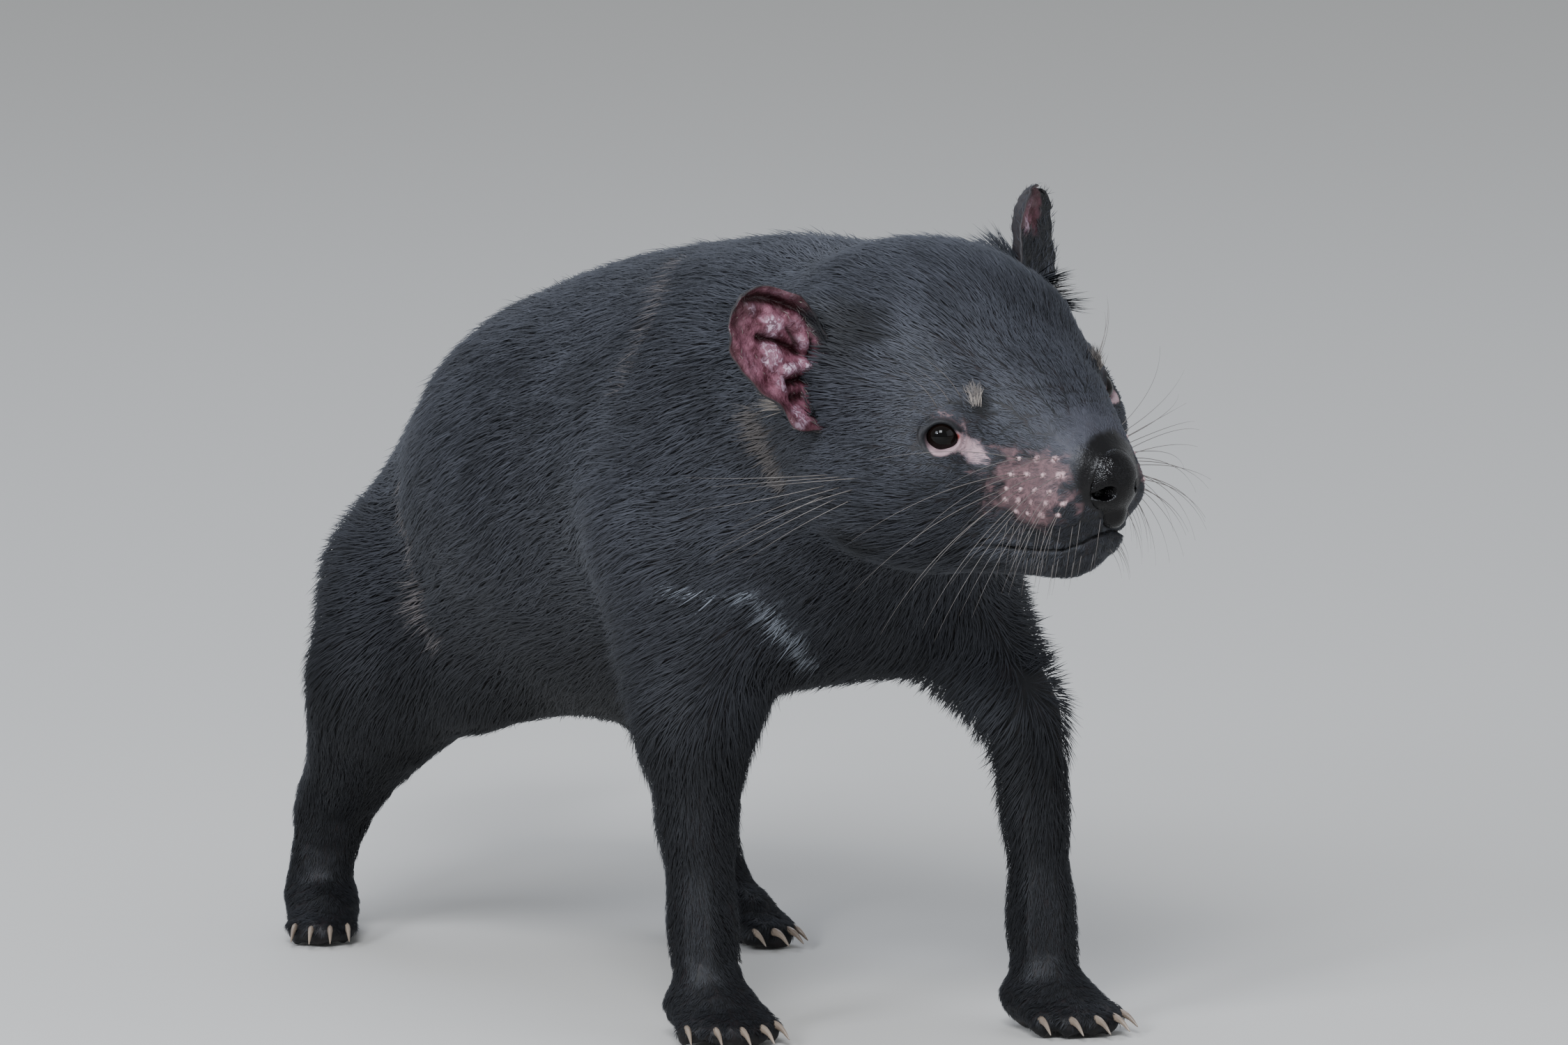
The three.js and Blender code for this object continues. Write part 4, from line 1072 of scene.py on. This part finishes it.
def tapered_run(name, start, end, radii, count=7):
    """Balls along a line whose radius goes from one to the other."""
    steps = np.linspace(0, 1, count)
    return [
        ball(name, NOSE_MM + np.array(start) * (1 - t) + np.array(end) * t, radii[0] * (1 - t) + radii[1] * t, 16)
        for t in steps
    ]


def melted(pieces, facet, rounds):
    """Several closed meshes made one, with their creases rounded off."""
    take(*pieces)
    bpy.ops.object.join()
    whole = pieces[0]
    finish_with(whole, "REMESH", mode="VOXEL", voxel_size=facet * MM)
    finish_with(whole, "SMOOTH", factor=0.5, iterations=rounds)
    return whole


def eye_material():
    """A wet eyeball: the clear cornea over a dark brown iris, so that it gleams and shows almost no white."""
    material, tree = new_material("wet_cornea")
    gaze = named(tree, "gaze")
    ramp = add_node(tree, "ValToRGB", links={"Fac": gaze})
    stops = [(0.0, "#020101"), (0.34, "#020101"), (0.42, "#080402"), (0.62, "#0e0705"), (0.72, "#050302"), (1.0, "#1c100e")]
    for place, code in stops[1:-1]:
        ramp.color_ramp.elements.new(place)
    for element, (place, code) in zip(ramp.color_ramp.elements, stops):
        element.position, element.color = place, rgba(code)
    shader = add_node(
        tree,
        "BsdfPrincipled",
        {"Roughness": 0.05, "IOR": 1.3},
        {"Base Color": ramp.outputs["Color"]},
    )
    add_node(tree, "OutputMaterial", links={"Surface": shader.outputs["BSDF"]})
    return material


class DEVIL_OT_eyes(bpy.types.Operator):
    """Makes the eyeballs behind the lids, each with a raised cornea"""

    bl_idname = "devil.eyes"
    bl_label = "Eyes"

    def execute(self, context):
        material = eye_material()
        for side in SIDES:
            centre, axes = eye_axes(side)
            take_nothing()
            bpy.ops.mesh.primitive_uv_sphere_add(segments=64, ring_count=40, radius=EYE_RADIUS_MM)
            eye = context.object
            eye.name = eye.data.name = f"eyeball_{side}"
            local = points_of(eye)
            off = np.hypot(local[:, 0], local[:, 1])
            cornea = 0.55 * np.exp(-((off / 3.6) ** 4)) * (local[:, 2] > 0)
            write_attribute(eye, "gaze", np.where(local[:, 2] > 0, off / EYE_RADIUS_MM, 1.0))
            local[:, 2] += cornea
            axes = axes.copy()
            axes[0] *= np.sign(np.linalg.det(axes))
            move_points(eye, centre + local * MM @ axes)
            eye.data.shade_smooth()
            eye.data.materials.append(material)
            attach(eye, "root")
            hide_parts(f"eye_{side}")
        return {"FINISHED"}


def nose_material():
    """Bare nose leather: black skin in pebbles about 0.7 mm across, kept wet, so it shines in small sparks."""
    material, tree = new_material("wet_nose_leather")
    place = add_node(tree, "TexCoord").outputs["Object"]
    pebbles = add_node(tree, "TexVoronoi", {"Scale": 1400.0}, {"Vector": place}, feature="DISTANCE_TO_EDGE")
    wide = add_node(tree, "TexNoise", {"Scale": 300.0, "Detail": 2.0}, {"Vector": place})
    rise = add_node(tree, "Math", {1: 0.35}, {0: pebbles.outputs["Distance"]}, operation="MINIMUM")
    bump = add_node(tree, "Bump", {"Strength": 0.45, "Distance": 0.0005}, {"Height": rise.outputs[0]})
    colour = layer(tree, "#030203", "#090809", wide.outputs["Fac"])
    rough = add_node(tree, "MapRange", {"To Min": 0.1, "To Max": 0.24}, {"Value": wide.outputs["Fac"]})
    shader = add_node(
        tree,
        "BsdfPrincipled",
        {"IOR": 1.32},
        {"Base Color": colour, "Normal": bump.outputs["Normal"], "Roughness": rough.outputs["Result"]},
    )
    add_node(tree, "OutputMaterial", links={"Surface": shader.outputs["BSDF"]})
    return material


class DEVIL_OT_nose(bpy.types.Operator):
    """Makes the bare nose: its pad, its wings, the nostrils with their slits and the groove below"""

    bl_idname = "devil.nose"
    bl_label = "Nose"

    def execute(self, context):
        pad = [
            ball("nose_pad", NOSE_MM, NOSE_RADII_MM, 48),
            ball("nose_foot", NOSE_MM + (0, 0, -11), (6, 5.5, 7)),
        ]
        holes = tapered_run("groove", (11.5, 0, -3), (7.5, 0, -15), (1.0, 1.3))
        for sign in SIDES.values():
            pad.append(ball("wing", NOSE_MM + (-1, 6.5 * sign, -3), (7.5, 5.5, 7)))
            holes += tapered_run("nostril", (10.5, 6.4 * sign, -2.6), (2.5, 7.6 * sign, -3.2), (2.8, 2.4))
            holes += tapered_run("slit", (7.5, 9 * sign, -3.4), (-2, 14.5 * sign, -3.2), (1.8, 1.4))
        nose = melted(pad, 0.55, 40)
        carver = melted(holes, 0.4, 3)
        finish_with(nose, "BOOLEAN", operation="DIFFERENCE", object=carver, solver="EXACT")
        bpy.data.objects.remove(carver)
        finish_with(nose, "REMESH", mode="VOXEL", voxel_size=0.45 * MM)
        finish_with(nose, "SMOOTH", factor=0.5, iterations=5)
        nose.name = nose.data.name = "nose_leather"
        nose.data.shade_smooth()
        nose.data.materials.clear()
        nose.data.materials.append(nose_material())
        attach(nose, "root")
        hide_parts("nose")
        return {"FINISHED"}


# Swellings in the cup of an ear: how far up it and across it towards the crown, then the height and the reach up and
# across in millimetres, and how strong the painted highlight on it is.
EAR_SWELLINGS = [
    (0.62, 0.16, 2.2, 5.5, 4.6, 1.0),
    (0.47, 0.60, 1.8, 5.5, 5.0, 0.15),
    (0.32, 0.42, 1.9, 4.5, 4.0, 0.45),
    (0.46, -0.30, 2.3, 5.0, 5.5, 1.0),
    (0.28, -0.60, 1.5, 3.0, 4.5, 0.5),
    (0.86, 0.12, 1.3, 3.4, 3.0, 0.5),
    (0.03, -0.86, 3.4, 4.5, 4.5, 1.0),
    (0.62, -0.72, 0.9, 7.0, 4.0, 0.1),
]
# Ridges and creases, as height or depth and half width in millimetres, and how strong the painted highlight on a ridge
# is.
EAR_RIDGES = [
    ([(0.31, -0.30), (0.21, 0.0), (0.12, 0.30)], 3.0, 1.7, 1.0),
    ([(0.10, -0.93), (0.50, -0.96), (0.86, -0.8)], 1.1, 2.0, 0.0),
    ([(0.40, 0.96), (0.66, 0.95), (0.86, 0.85)], 1.4, 1.4, 0.25),
]
EAR_CREASES = [
    ([(0.95, 0.3), (0.80, 0.62), (0.58, 0.82), (0.40, 0.86)], 2.2, 2.3),
    ([(0.66, -0.2), (0.50, 0.0), (0.36, 0.16), (0.28, 0.2)], 2.3, 1.7),
    ([(0.30, 0.66), (0.22, 0.50), (0.18, 0.30)], 1.8, 1.2),
    ([(0.23, -0.46), (0.10, -0.12), (0.02, 0.25)], 3.0, 1.9),
    ([(0.14, -0.62), (0.06, -0.40)], 2.6, 2.0),
    ([(0.34, 0.32), (0.50, 0.36)], 1.2, 1.2),
]


def ear_axes(side):
    """An ear's root, its length, and the ways up it, across it and out of its cup, in the head's frame."""
    ear = EARS[side]
    root = np.array(ear["root"], float)
    along = np.array(ear["tip"], float) - root
    length = np.linalg.norm(along)
    along /= length
    facing = np.array(ear["facing"], float)
    facing = unit(facing - along * (facing @ along))
    return root, length, along, np.cross(along, facing), facing


def ear_half_width(side, up, across):
    """Half the width of an ear's shell, in millimetres."""
    over = np.maximum(up - EAR_FULL, 0) / (1 - EAR_FULL)
    half = EARS[side]["width"] * np.maximum(1 - over**2, 0.012) ** 0.45 * (0.8 + 0.2 * np.minimum(up * 2.4, 1))
    crown = across if side == "right" else -across
    half = half * np.where(crown < 0, 1 + 0.28 * np.exp(-(((up - 0.02) / 0.14) ** 2)), 1.0)
    return half * np.where(across > 0, 1 - EARS[side]["fold"] * (1 - np.clip(up, 0, 0.5)), 1.0)


def ear_place(side, up, across, lift):
    """Places on the middle of an ear's shell, lifted out of the cup, in millimetres in the head's frame."""
    root, length, along, sideways, facing = ear_axes(side)
    up, across = np.asarray(up, float), np.asarray(across, float)
    cup = EAR_CUP_MM * ((1 - across**2 * (1 - 0.5 * up)) * (1 - 0.55 * up**2) - 0.55)
    reach = np.stack([up * length, ear_half_width(side, up, across) * across, lift - cup], axis=1)
    return root + reach @ np.array([along, sideways, facing])


def ear_spot(side, points):
    """How far up an ear and across it each place lies, from places in the model's frame."""
    root, length, along, sideways, _ = ear_axes(side)
    off = to_head(points) - root
    up, across = off @ along / length, off @ sideways
    return up, across / ear_half_width(side, up, across)


def fur_on_ear(side, up, across):
    """The share of an ear's front that fur covers: its foot and its edge by the crown, and more on the far ear."""
    crown = across if side == "right" else -across
    foot = 1 - ease(up + 0.25 * np.maximum(-crown, 0), 0.02, 0.16)
    inner = ease(crown, 0.62, 0.9) * (1 - ease(up, 0.42, 0.6))
    if side == "left":
        foot = 1 - ease(up - 0.1 * across, 0.56, 0.66)
        inner = ease(across, 0.45, 0.65)
    return np.maximum(foot, inner)


def shape_ear(ear, side):
    """Bends a flat grid into the ear's cup, with its swellings, its creases and its rolled rim."""
    flat = points_of(ear)
    across, up = flat[:, 0], EAR_LOW + (1 - EAR_LOW) * np.sin((flat[:, 1] + 1) * np.pi / 4)
    crown = 1 if side == "right" else -1
    sheet = ear_place(side, up, across, 0.0 * up)
    slant = sheet @ np.array([(1.0, 0.3, 0.0), (0.0, 0.45, 0.4), (0.0, -0.4, 1.0)])
    lift = 0.7 * wander(slant, 5.0) + 0.55 * wander(slant, 2.4, 4) + 0.3 * wander(slant, 1.1, 6)
    mottle = 0.8 + 0.4 * wander(slant, 2.4, 8) + 0.45 * wander(slant, 0.9, 1)
    # Painted highlights on the swellings and ridges, and painted shade in the creases.
    pale, deep = np.zeros(len(up)), np.zeros(len(up))
    length, width = ear_axes(side)[1], EARS[side]["width"]
    for at_up, at_across, height, reach_up, reach_across, highlight_share in EAR_SWELLINGS:
        off = ((up - at_up) * length / reach_up) ** 2 + ((across - at_across * crown) * width / reach_across) ** 2
        lift += height * np.exp(-off)
        pale = np.maximum(pale, highlight_share * (1 - ease(np.sqrt(off) / mottle, 0.5, 1.25)))
    for paths, sign in ((EAR_RIDGES, 1), (EAR_CREASES, -1)):
        for path, height, half, *highlight_share in paths:
            at_up, at_across = np.array(path).T
            away = distance_to_path(sheet, ear_place(side, at_up, at_across * crown, 0.0 * at_up)) / half
            lift += sign * height * np.exp(-(away**2))
            if highlight_share:
                pale = np.maximum(pale, highlight_share[0] * (1 - ease(away / mottle, 0.5, 1.1)))
            else:
                deep = np.maximum(deep, np.exp(-((away / 1.1) ** 2)))
    edge = np.maximum(np.abs(across), (up - EAR_LOW) / (1 - EAR_LOW) * 0.999)
    lift += 0.6 * ease(edge, 0.9, 1.0) * ease(up, 0.1, 0.4)
    places = ear_place(side, up, across, lift)
    places += 0.5 * (edge > 0.97)[:, None] * wander(sheet, 5.0, 2)[:, None]
    move_points(ear, from_head(places))
    # Painted shade: dark in the creases and darker where the shell sinks into its cup.
    write_attribute(ear, "deep", np.clip(deep + 0.8 * ease(-lift, 0.0, 1.6), 0, 1))
    # Painted highlights on the swellings and ridges.
    write_attribute(ear, "crest", np.clip(pale, 0, 1))
    write_attribute(ear, "edge", edge)
    write_attribute(ear, "furred", fur_on_ear(side, up, across))
    thick = (2.1 - 0.9 * up) * (1 - 0.35 * across**2) / 2.4
    weigh(ear, "wall", np.clip(thick, 0, 1))


def ear_skin_material():
    """Thin bare ear skin, mauve with blood under it and glossy, with painted pale highlights on its ridges and painted
    dark red shade in its folds.
    """
    material, tree = new_material("bare_ear_skin")
    place = add_node(tree, "TexCoord").outputs["Object"]
    blotch = add_node(tree, "TexNoise", {"Scale": 190.0, "Detail": 4.0, "Roughness": 0.65}, {"Vector": place})
    wrinkles = add_node(tree, "TexNoise", {"Scale": 520.0, "Detail": 4.0, "Distortion": 1.2}, {"Vector": place})
    streaks = add_node(tree, "MapRange", {"From Min": 0.46, "From Max": 0.62, "To Min": 0.12}, {"Value": wrinkles.outputs["Fac"]})
    share = add_node(tree, "MapRange", {"From Min": 0.36, "From Max": 0.66}, {"Value": blotch.outputs["Fac"]})
    colour = layer(tree, "#471f29", settings().ear_skin, share.outputs["Result"])
    crest = add_node(tree, "Math", links={0: named(tree, "crest"), 1: streaks.outputs["Result"]}, operation="MULTIPLY")
    # Painted highlight: pale lilac on the ridges and swellings, broken by the wrinkles.
    colour = layer(tree, colour, "#cbb0c3", crest.outputs[0])
    # Painted shade: dark red in the creases and hollows of the cup.
    colour = layer(tree, colour, "#22090d", named(tree, "deep"))
    edge = add_node(tree, "MapRange", {"From Min": 0.78, "From Max": 1.0, "To Max": 0.85}, {"Value": named(tree, "edge")})
    colour = layer(tree, colour, "#3a2427", edge.outputs["Result"])
    colour = layer(tree, colour, DARK_SKIN, named(tree, "furred"))
    bump = add_node(tree, "Bump", {"Strength": 0.8, "Distance": 0.0007}, {"Height": wrinkles.outputs["Fac"]})
    shader = add_node(
        tree,
        "BsdfPrincipled",
        {"Roughness": 0.26, "IOR": 1.4},
        {"Base Color": colour, "Normal": bump.outputs["Normal"]},
    )
    add_node(tree, "OutputMaterial", links={"Surface": shader.outputs["BSDF"]})
    return material


def ear_back_material():
    """The dark skin of the ear's back, which its short fur covers."""
    material, tree = new_material("furred_ear_skin")
    place = add_node(tree, "TexCoord").outputs["Object"]
    grain = add_node(tree, "TexNoise", {"Scale": 900.0, "Detail": 3.0}, {"Vector": place})
    colour = layer(tree, DARK_SKIN, "#2a2224", grain.outputs["Fac"])
    bump = add_node(tree, "Bump", {"Strength": 0.5, "Distance": 0.0003}, {"Height": grain.outputs["Fac"]})
    shader = add_node(
        tree, "BsdfPrincipled", {"Roughness": 0.6}, {"Base Color": colour, "Normal": bump.outputs["Normal"]}
    )
    add_node(tree, "OutputMaterial", links={"Surface": shader.outputs["BSDF"]})
    return material


class DEVIL_OT_ears(bpy.types.Operator):
    """Makes the ears, bare and ridged in front, with short fur on the back and hairs along the rim"""

    bl_idname = "devil.ears"
    bl_label = "Ears"

    def execute(self, context):
        random = np.random.default_rng(5)
        front, back = ear_skin_material(), ear_back_material()
        fur = bpy.data.materials.get("guard_hair") or fur_material()
        for side in SIDES:
            take_nothing()
            bpy.ops.mesh.primitive_grid_add(x_subdivisions=46, y_subdivisions=52, size=2.0)
            ear = context.object
            ear.name = ear.data.name = f"ear_shell_{side}"
            shape_ear(ear, side)
            ear.data.materials.append(front)
            ear.data.materials.append(back)
            finish_with(
                ear,
                "SOLIDIFY",
                thickness=2.4 * MM,
                offset=0.0,
                vertex_group="wall",
                material_offset=1,
                material_offset_rim=1,
            )
            finish_with(ear, "SUBSURF", levels=1, render_levels=1)
            ear.vertex_groups.clear()
            ear.data.shade_smooth()
            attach(ear, "root")
            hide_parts(f"ear_{side}")
            facing = way_from_head(ear_axes(side)[4])
            up_way = way_from_head(ear_axes(side)[2])

            def density(points, normals):
                up, across = ear_spot(side, points)
                toward = normals @ facing
                behind = (34e4 * (toward < 0.05) + 10e4 * (np.abs(toward) < 0.35)) * (up > -0.15)
                return behind + (toward > 0.0) * (45e4 * fur_on_ear(side, up, across) + 1.3e4 * (up > 0.1))

            places, normals = roots_on(ear, density, random)
            away = normals @ facing
            up, across = ear_spot(side, places)
            covered = (away > 0.0) * fur_on_ear(side, up, across)
            length = np.where(away < 0.05, np.interp(up, [0, 0.4, 0.8], [6.0, 3.6, 2.0]), 3.0)
            length = length * (1 - covered) + np.interp(up, [0, 0.6], [7.0, 4.0]) * covered
            flow = unit(up_way + 0.25 * random.normal(0, 1, (len(places), 3)))
            flow = unit(flow - normals * np.sum(flow * normals, axis=1, keepdims=True))
            corners = grow_tufts(places, normals, length, flow, random)
            marks = {name: np.zeros(len(places)) for name in markings(places[:1])}
            marks["shade"] = shades(places, random)
            marks["pale"] = np.where(away > 0.3, 0.4, 0.0) * (1 - covered)
            # Painted shade on the fur over the right ear's foot and inner edge.
            marks["black"] = 0.85 * covered * (side == "right")
            tuft_piece(f"coat_ear_{side}", corners, places, normals, marks, fur)
        return {"FINISHED"}


def claw_material():
    """Claw horn: brown-grey keratin, worn smooth, with growth lines about half a millimetre apart."""
    material, tree = new_material("claw_horn")
    place = add_node(tree, "TexCoord").outputs["Object"]
    lines = add_node(tree, "TexNoise", {"Scale": 700.0, "Detail": 3.0}, {"Vector": place})
    wide = add_node(tree, "TexNoise", {"Scale": 120.0, "Detail": 2.0}, {"Vector": place})
    colour = layer(tree, "#5c5046", "#9a8b7b", wide.outputs["Fac"])
    bump = add_node(tree, "Bump", {"Strength": 0.35, "Distance": 0.0003}, {"Height": lines.outputs["Fac"]})
    shader = add_node(
        tree,
        "BsdfPrincipled",
        {"Roughness": 0.34, "IOR": 1.54},
        {"Base Color": colour, "Normal": bump.outputs["Normal"]},
    )
    add_node(tree, "OutputMaterial", links={"Surface": shader.outputs["BSDF"]})
    return material


class DEVIL_OT_claws(bpy.types.Operator):
    """Makes the claws of each paw, rounded from copies of their solids"""

    bl_idname = "devil.claws"
    bl_label = "Claws"

    def execute(self, context):
        horn = claw_material()
        for leg in LEGS:
            names = [name for name in CLAWS if name.startswith(leg)]
            claws = copy_of(names, f"claws_of_{leg}", 0.0)
            finish_with(claws, "SUBSURF", levels=2, render_levels=2)
            claws.data.shade_smooth()
            claws.data.materials.clear()
            claws.data.materials.append(horn)
            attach(claws, "root")
            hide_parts(*names)
        return {"FINISHED"}


def whisker_material():
    """Whisker keratin: stiff, clear brown-grey and polished, so it is pale on the dark coat and dark on a pale ground."""
    material, tree = new_material("whisker_keratin")
    shader = add_node(tree, "BsdfPrincipled", {"Base Color": rgba("#68625e"), "Roughness": 0.32, "IOR": 1.55})
    add_node(tree, "OutputMaterial", links={"Surface": shader.outputs["BSDF"]})
    return material


def bead_material():
    """The small bare swelling round each whisker's root: pale skin, faintly mottled and a little moist."""
    material, tree = new_material("bead_skin")
    place = add_node(tree, "TexCoord").outputs["Object"]
    mottle = add_node(tree, "TexNoise", {"Scale": 420.0, "Detail": 2.0}, {"Vector": place})
    share = add_node(tree, "MapRange", {"From Min": 0.35, "From Max": 0.65}, {"Value": mottle.outputs["Fac"]})
    colour = layer(tree, "#8a6e70", SPOT_SKIN, share.outputs["Result"])
    shader = add_node(tree, "BsdfPrincipled", {"Roughness": 0.36, "IOR": 1.4}, {"Base Color": colour})
    add_node(tree, "OutputMaterial", links={"Surface": shader.outputs["BSDF"]})
    return material


def bent_hair(root, way, end_way, length):
    """Twelve places along a hair that leaves its root one way and ends another way."""
    t = np.linspace(0, 1, 12)[:, None]
    elbow = root + unit(np.array(way, float)) * length * 0.5
    tip = elbow + unit(np.array(end_way, float)) * length * 0.5
    return root * (1 - t) ** 2 + elbow * 2 * t * (1 - t) + tip * t**2


def hair_piece(name, paths, thickness, material):
    """Tapered hairs along paths in the head's frame, as one mesh."""
    curve = bpy.data.curves.new(name, "CURVE")
    curve.dimensions = "3D"
    curve.bevel_depth = thickness / 2 * MM
    curve.bevel_resolution = 0
    curve.use_fill_caps = True
    for path in paths:
        spline = curve.splines.new("POLY")
        spline.points.add(len(path) - 1)
        for n, (point, place) in enumerate(zip(spline.points, from_head(path))):
            point.co = (*place, 1.0)
            point.radius = max(1 - n / (len(path) - 1), 0.12) ** 0.7
    piece = bpy.data.objects.new(name, curve)
    bpy.context.scene.collection.objects.link(piece)
    take(piece)
    bpy.ops.object.convert(target="MESH")
    piece = bpy.context.object
    finish_with(piece, "WELD", merge_threshold=1e-6)
    piece.data.shade_smooth()
    piece.data.materials.clear()
    piece.data.materials.append(material)
    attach(piece, "root")
    return piece


class DEVIL_OT_whiskers(bpy.types.Operator):
    """Sets the whiskers on the muzzle, the cheeks, the brows, the lips and the chin"""

    bl_idname = "devil.whiskers"
    bl_label = "Whiskers"

    def execute(self, context):
        random = np.random.default_rng(17)
        tree = tree_of(bpy.data.objects["skin"])
        material = whisker_material()

        def root_at(x, z, sign, y=70.0):
            start = from_head((x, y * sign, z))
            hit = tree.ray_cast(Vector(start), Vector(way_from_head((0, -sign, 0))))[0]
            if hit is None:
                hit = tree.find_nearest(Vector(from_head((x, 4.0 * sign, z))))[0]
            return to_head([hit])[0]

        muzzle, cheek, lips = [], [], []
        reach = settings().whisker_length / MM
        for sign in SIDES.values():
            for row, (x, z, count) in enumerate(WHISKER_ROWS_MM):
                for column in range(count):
                    rear = 1 - column / (count - 1)
                    root = root_at(x + WHISKER_SPACING_MM * column, z - 0.3 * column, sign)
                    way = (0.35 - 0.5 * rear, sign, 0.35 - 0.25 * row + random.normal(0, 0.05))
                    droop = 0.15 - 0.3 * row + (0 if sign > 0 else -0.25)
                    end = (-0.1 - 0.4 * rear, sign * 0.5, droop + random.normal(0, 0.08))
                    length = reach * (0.5 + 0.5 * rear) * (0.8, 0.92, 1.0, 0.95, 0.75)[row]
                    muzzle.append(bent_hair(root, way, end, length * random.uniform(0.9, 1.08)))
            for n in range(9):
                root = root_at(17 - 2.5 * n, -50 - 4 * (n % 3), sign, 90.0)
                way = (-0.5, sign, 0.1 - 0.2 * (n % 3))
                end = (-1, sign * 0.35, -0.1 - 0.3 * (n % 3) + random.normal(0, 0.1))
                cheek.append(bent_hair(root, way, end, random.uniform(42, 62)))
            for n in range(3):
                root = root_at(46 - 3 * n, -24 - 1.5 * n, sign, 60.0)
                cheek.append(bent_hair(root, (0.2, sign * 0.6, 1), (-0.7, sign * 0.6, 0.7), random.uniform(20, 28)))
            for n in range(13):
                share = n / 12
                root = root_at(55 + 27 * share, -71.0 + random.normal(0, 0.8), sign)
                way = (0.15 * share, 0.5 * sign, -1 + random.normal(0, 0.08))
                lips.append(bent_hair(root, way, (-0.25, 0.1 * sign, -1), random.uniform(16, 28)))
            for n in range(8):
                share = n / 7
                root = root_at(58 + 18 * share, -84.0 - 2 * (n % 2), sign)
                lips.append(bent_hair(root, (0.2, 0.6 * sign, -1), (-0.2, 0.2 * sign, -1), random.uniform(8, 16)))
        beads = [ball("whisker_beads", path[0], (0.95, 0.8, 0.95), 8) for path in muzzle]
        take(*beads)
        bpy.ops.object.join()
        beads[0].data.shade_smooth()
        beads[0].data.materials.append(bead_material())
        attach(beads[0], "root")
        hair_piece("whiskers_muzzle", muzzle, 0.32, material)
        hair_piece("whiskers_cheek", cheek, 0.3, material)
        hair_piece("whiskers_lips", lips, 0.22, material)
        return {"FINISHED"}


class DEVIL_OT_stage(bpy.types.Operator):
    """Sets the pale floor, the studio lights and the camera at the photograph's viewing angle"""

    bl_idname = "devil.stage"
    bl_label = "Stage"

    def execute(self, context):
        take_nothing()
        bpy.ops.mesh.primitive_plane_add(size=60)
        floor = context.object
        floor.name = floor.data.name = "studio_floor"
        material, tree = new_material("matt_paper_floor")
        shader = add_node(tree, "BsdfPrincipled", {"Base Color": settings().floor, "Roughness": 0.9})
        add_node(tree, "OutputMaterial", links={"Surface": shader.outputs["BSDF"]})
        floor.data.materials.append(material)
        world = bpy.data.worlds.new("studio_air")
        world.use_nodes = True
        world.node_tree.nodes["Background"].inputs["Color"].default_value = rgba("#dfe3e8")
        world.node_tree.nodes["Background"].inputs["Strength"].default_value = 0.68
        context.scene.world = world
        for name, place, size, power, code in STUDIO_LIGHTS:
            light = bpy.data.lights.new(name, "AREA")
            light.size = size
            light.energy = power
            light.color = linear(code)
            lamp = bpy.data.objects.new(name, light)
            context.scene.collection.objects.link(lamp)
            lamp.location = place
            lamp.rotation_euler = (CAMERA_TARGET - Vector(place)).to_track_quat("-Z", "Y").to_euler()
        lens = bpy.data.cameras.new("camera")
        lens.lens = CAMERA_LENS
        lens.sensor_width = 36.0
        lens.clip_end = 200.0
        camera = bpy.data.objects.new("camera", lens)
        context.scene.collection.objects.link(camera)
        turn, rise = math.radians(CAMERA_AZIMUTH), math.radians(CAMERA_ELEVATION)
        back = Vector((math.sin(turn) * math.cos(rise), -math.cos(turn) * math.cos(rise), math.sin(rise)))
        camera.location = CAMERA_TARGET + back * CAMERA_DISTANCE
        camera.rotation_euler = (-back).to_track_quat("-Z", "Y").to_euler()
        context.scene.camera = camera
        return {"FINISHED"}


class DevilSettings(bpy.types.PropertyGroup):
    """Sizes and colours of the devil that a user would change"""

    skin_facet: FloatProperty(
        name="Skin facet", description="Width of the skin's facets before they are thinned", default=0.0015, unit="LENGTH"
    )
    skin_share: FloatProperty(
        name="Skin share", description="Share of the facets kept, fewest on the trunk", default=0.38, subtype="FACTOR"
    )
    body_fur: FloatProperty(
        name="Body fur", description="Length of the fur on the trunk", default=0.016, unit="LENGTH"
    )
    whisker_length: FloatProperty(
        name="Whisker length", description="Length of the longest whiskers", default=0.074, unit="LENGTH"
    )
    fur_dark: FloatVectorProperty(
        name="Dark fur", description="The darkest hairs", default=rgba("#1a1b1f"), size=4, min=0, max=1, subtype="COLOR"
    )
    fur_light: FloatVectorProperty(
        name="Light fur", description="The lightest hairs", default=rgba("#404249"), size=4, min=0, max=1, subtype="COLOR"
    )
    bare_skin: FloatVectorProperty(
        name="Bare skin", description="Lids and eye patches", default=rgba("#a0868b"), size=4, min=0, max=1, subtype="COLOR"
    )
    ear_skin: FloatVectorProperty(
        name="Ear skin", description="Bare skin in the ears", default=rgba("#8a5a69"), size=4, min=0, max=1, subtype="COLOR"
    )
    floor: FloatVectorProperty(
        name="Floor", description="The studio floor", default=rgba("#c9c7c2"), size=4, min=0, max=1, subtype="COLOR"
    )


class DEVIL_PT_panel(bpy.types.Panel):
    """Lists the pieces of the devil"""

    bl_idname = "DEVIL_PT_panel"
    bl_label = "Tasmanian Devil"
    bl_space_type = "VIEW_3D"
    bl_region_type = "UI"
    bl_category = "Devil"

    def draw(self, context):
        for name in DevilSettings.__annotations__:
            self.layout.prop(context.scene.devil, name)
        for operator in OPERATORS:
            self.layout.operator(operator.bl_idname)


OPERATORS = [
    DEVIL_OT_skin,
    DEVIL_OT_coat,
    DEVIL_OT_locks,
    DEVIL_OT_eyes,
    DEVIL_OT_nose,
    DEVIL_OT_ears,
    DEVIL_OT_claws,
    DEVIL_OT_whiskers,
    DEVIL_OT_stage,
]
CLASSES = [DevilSettings, *OPERATORS, DEVIL_PT_panel]


def register():
    for made in CLASSES:
        bpy.utils.register_class(made)
    bpy.types.Scene.devil = PointerProperty(type=DevilSettings)


def unregister():
    del bpy.types.Scene.devil
    for made in reversed(CLASSES):
        bpy.utils.unregister_class(made)


def main():
    register()
    for operator in OPERATORS:
        group, name = operator.bl_idname.split(".")
        getattr(getattr(bpy.ops, group), name)()


if __name__ == "__main__":
    main()
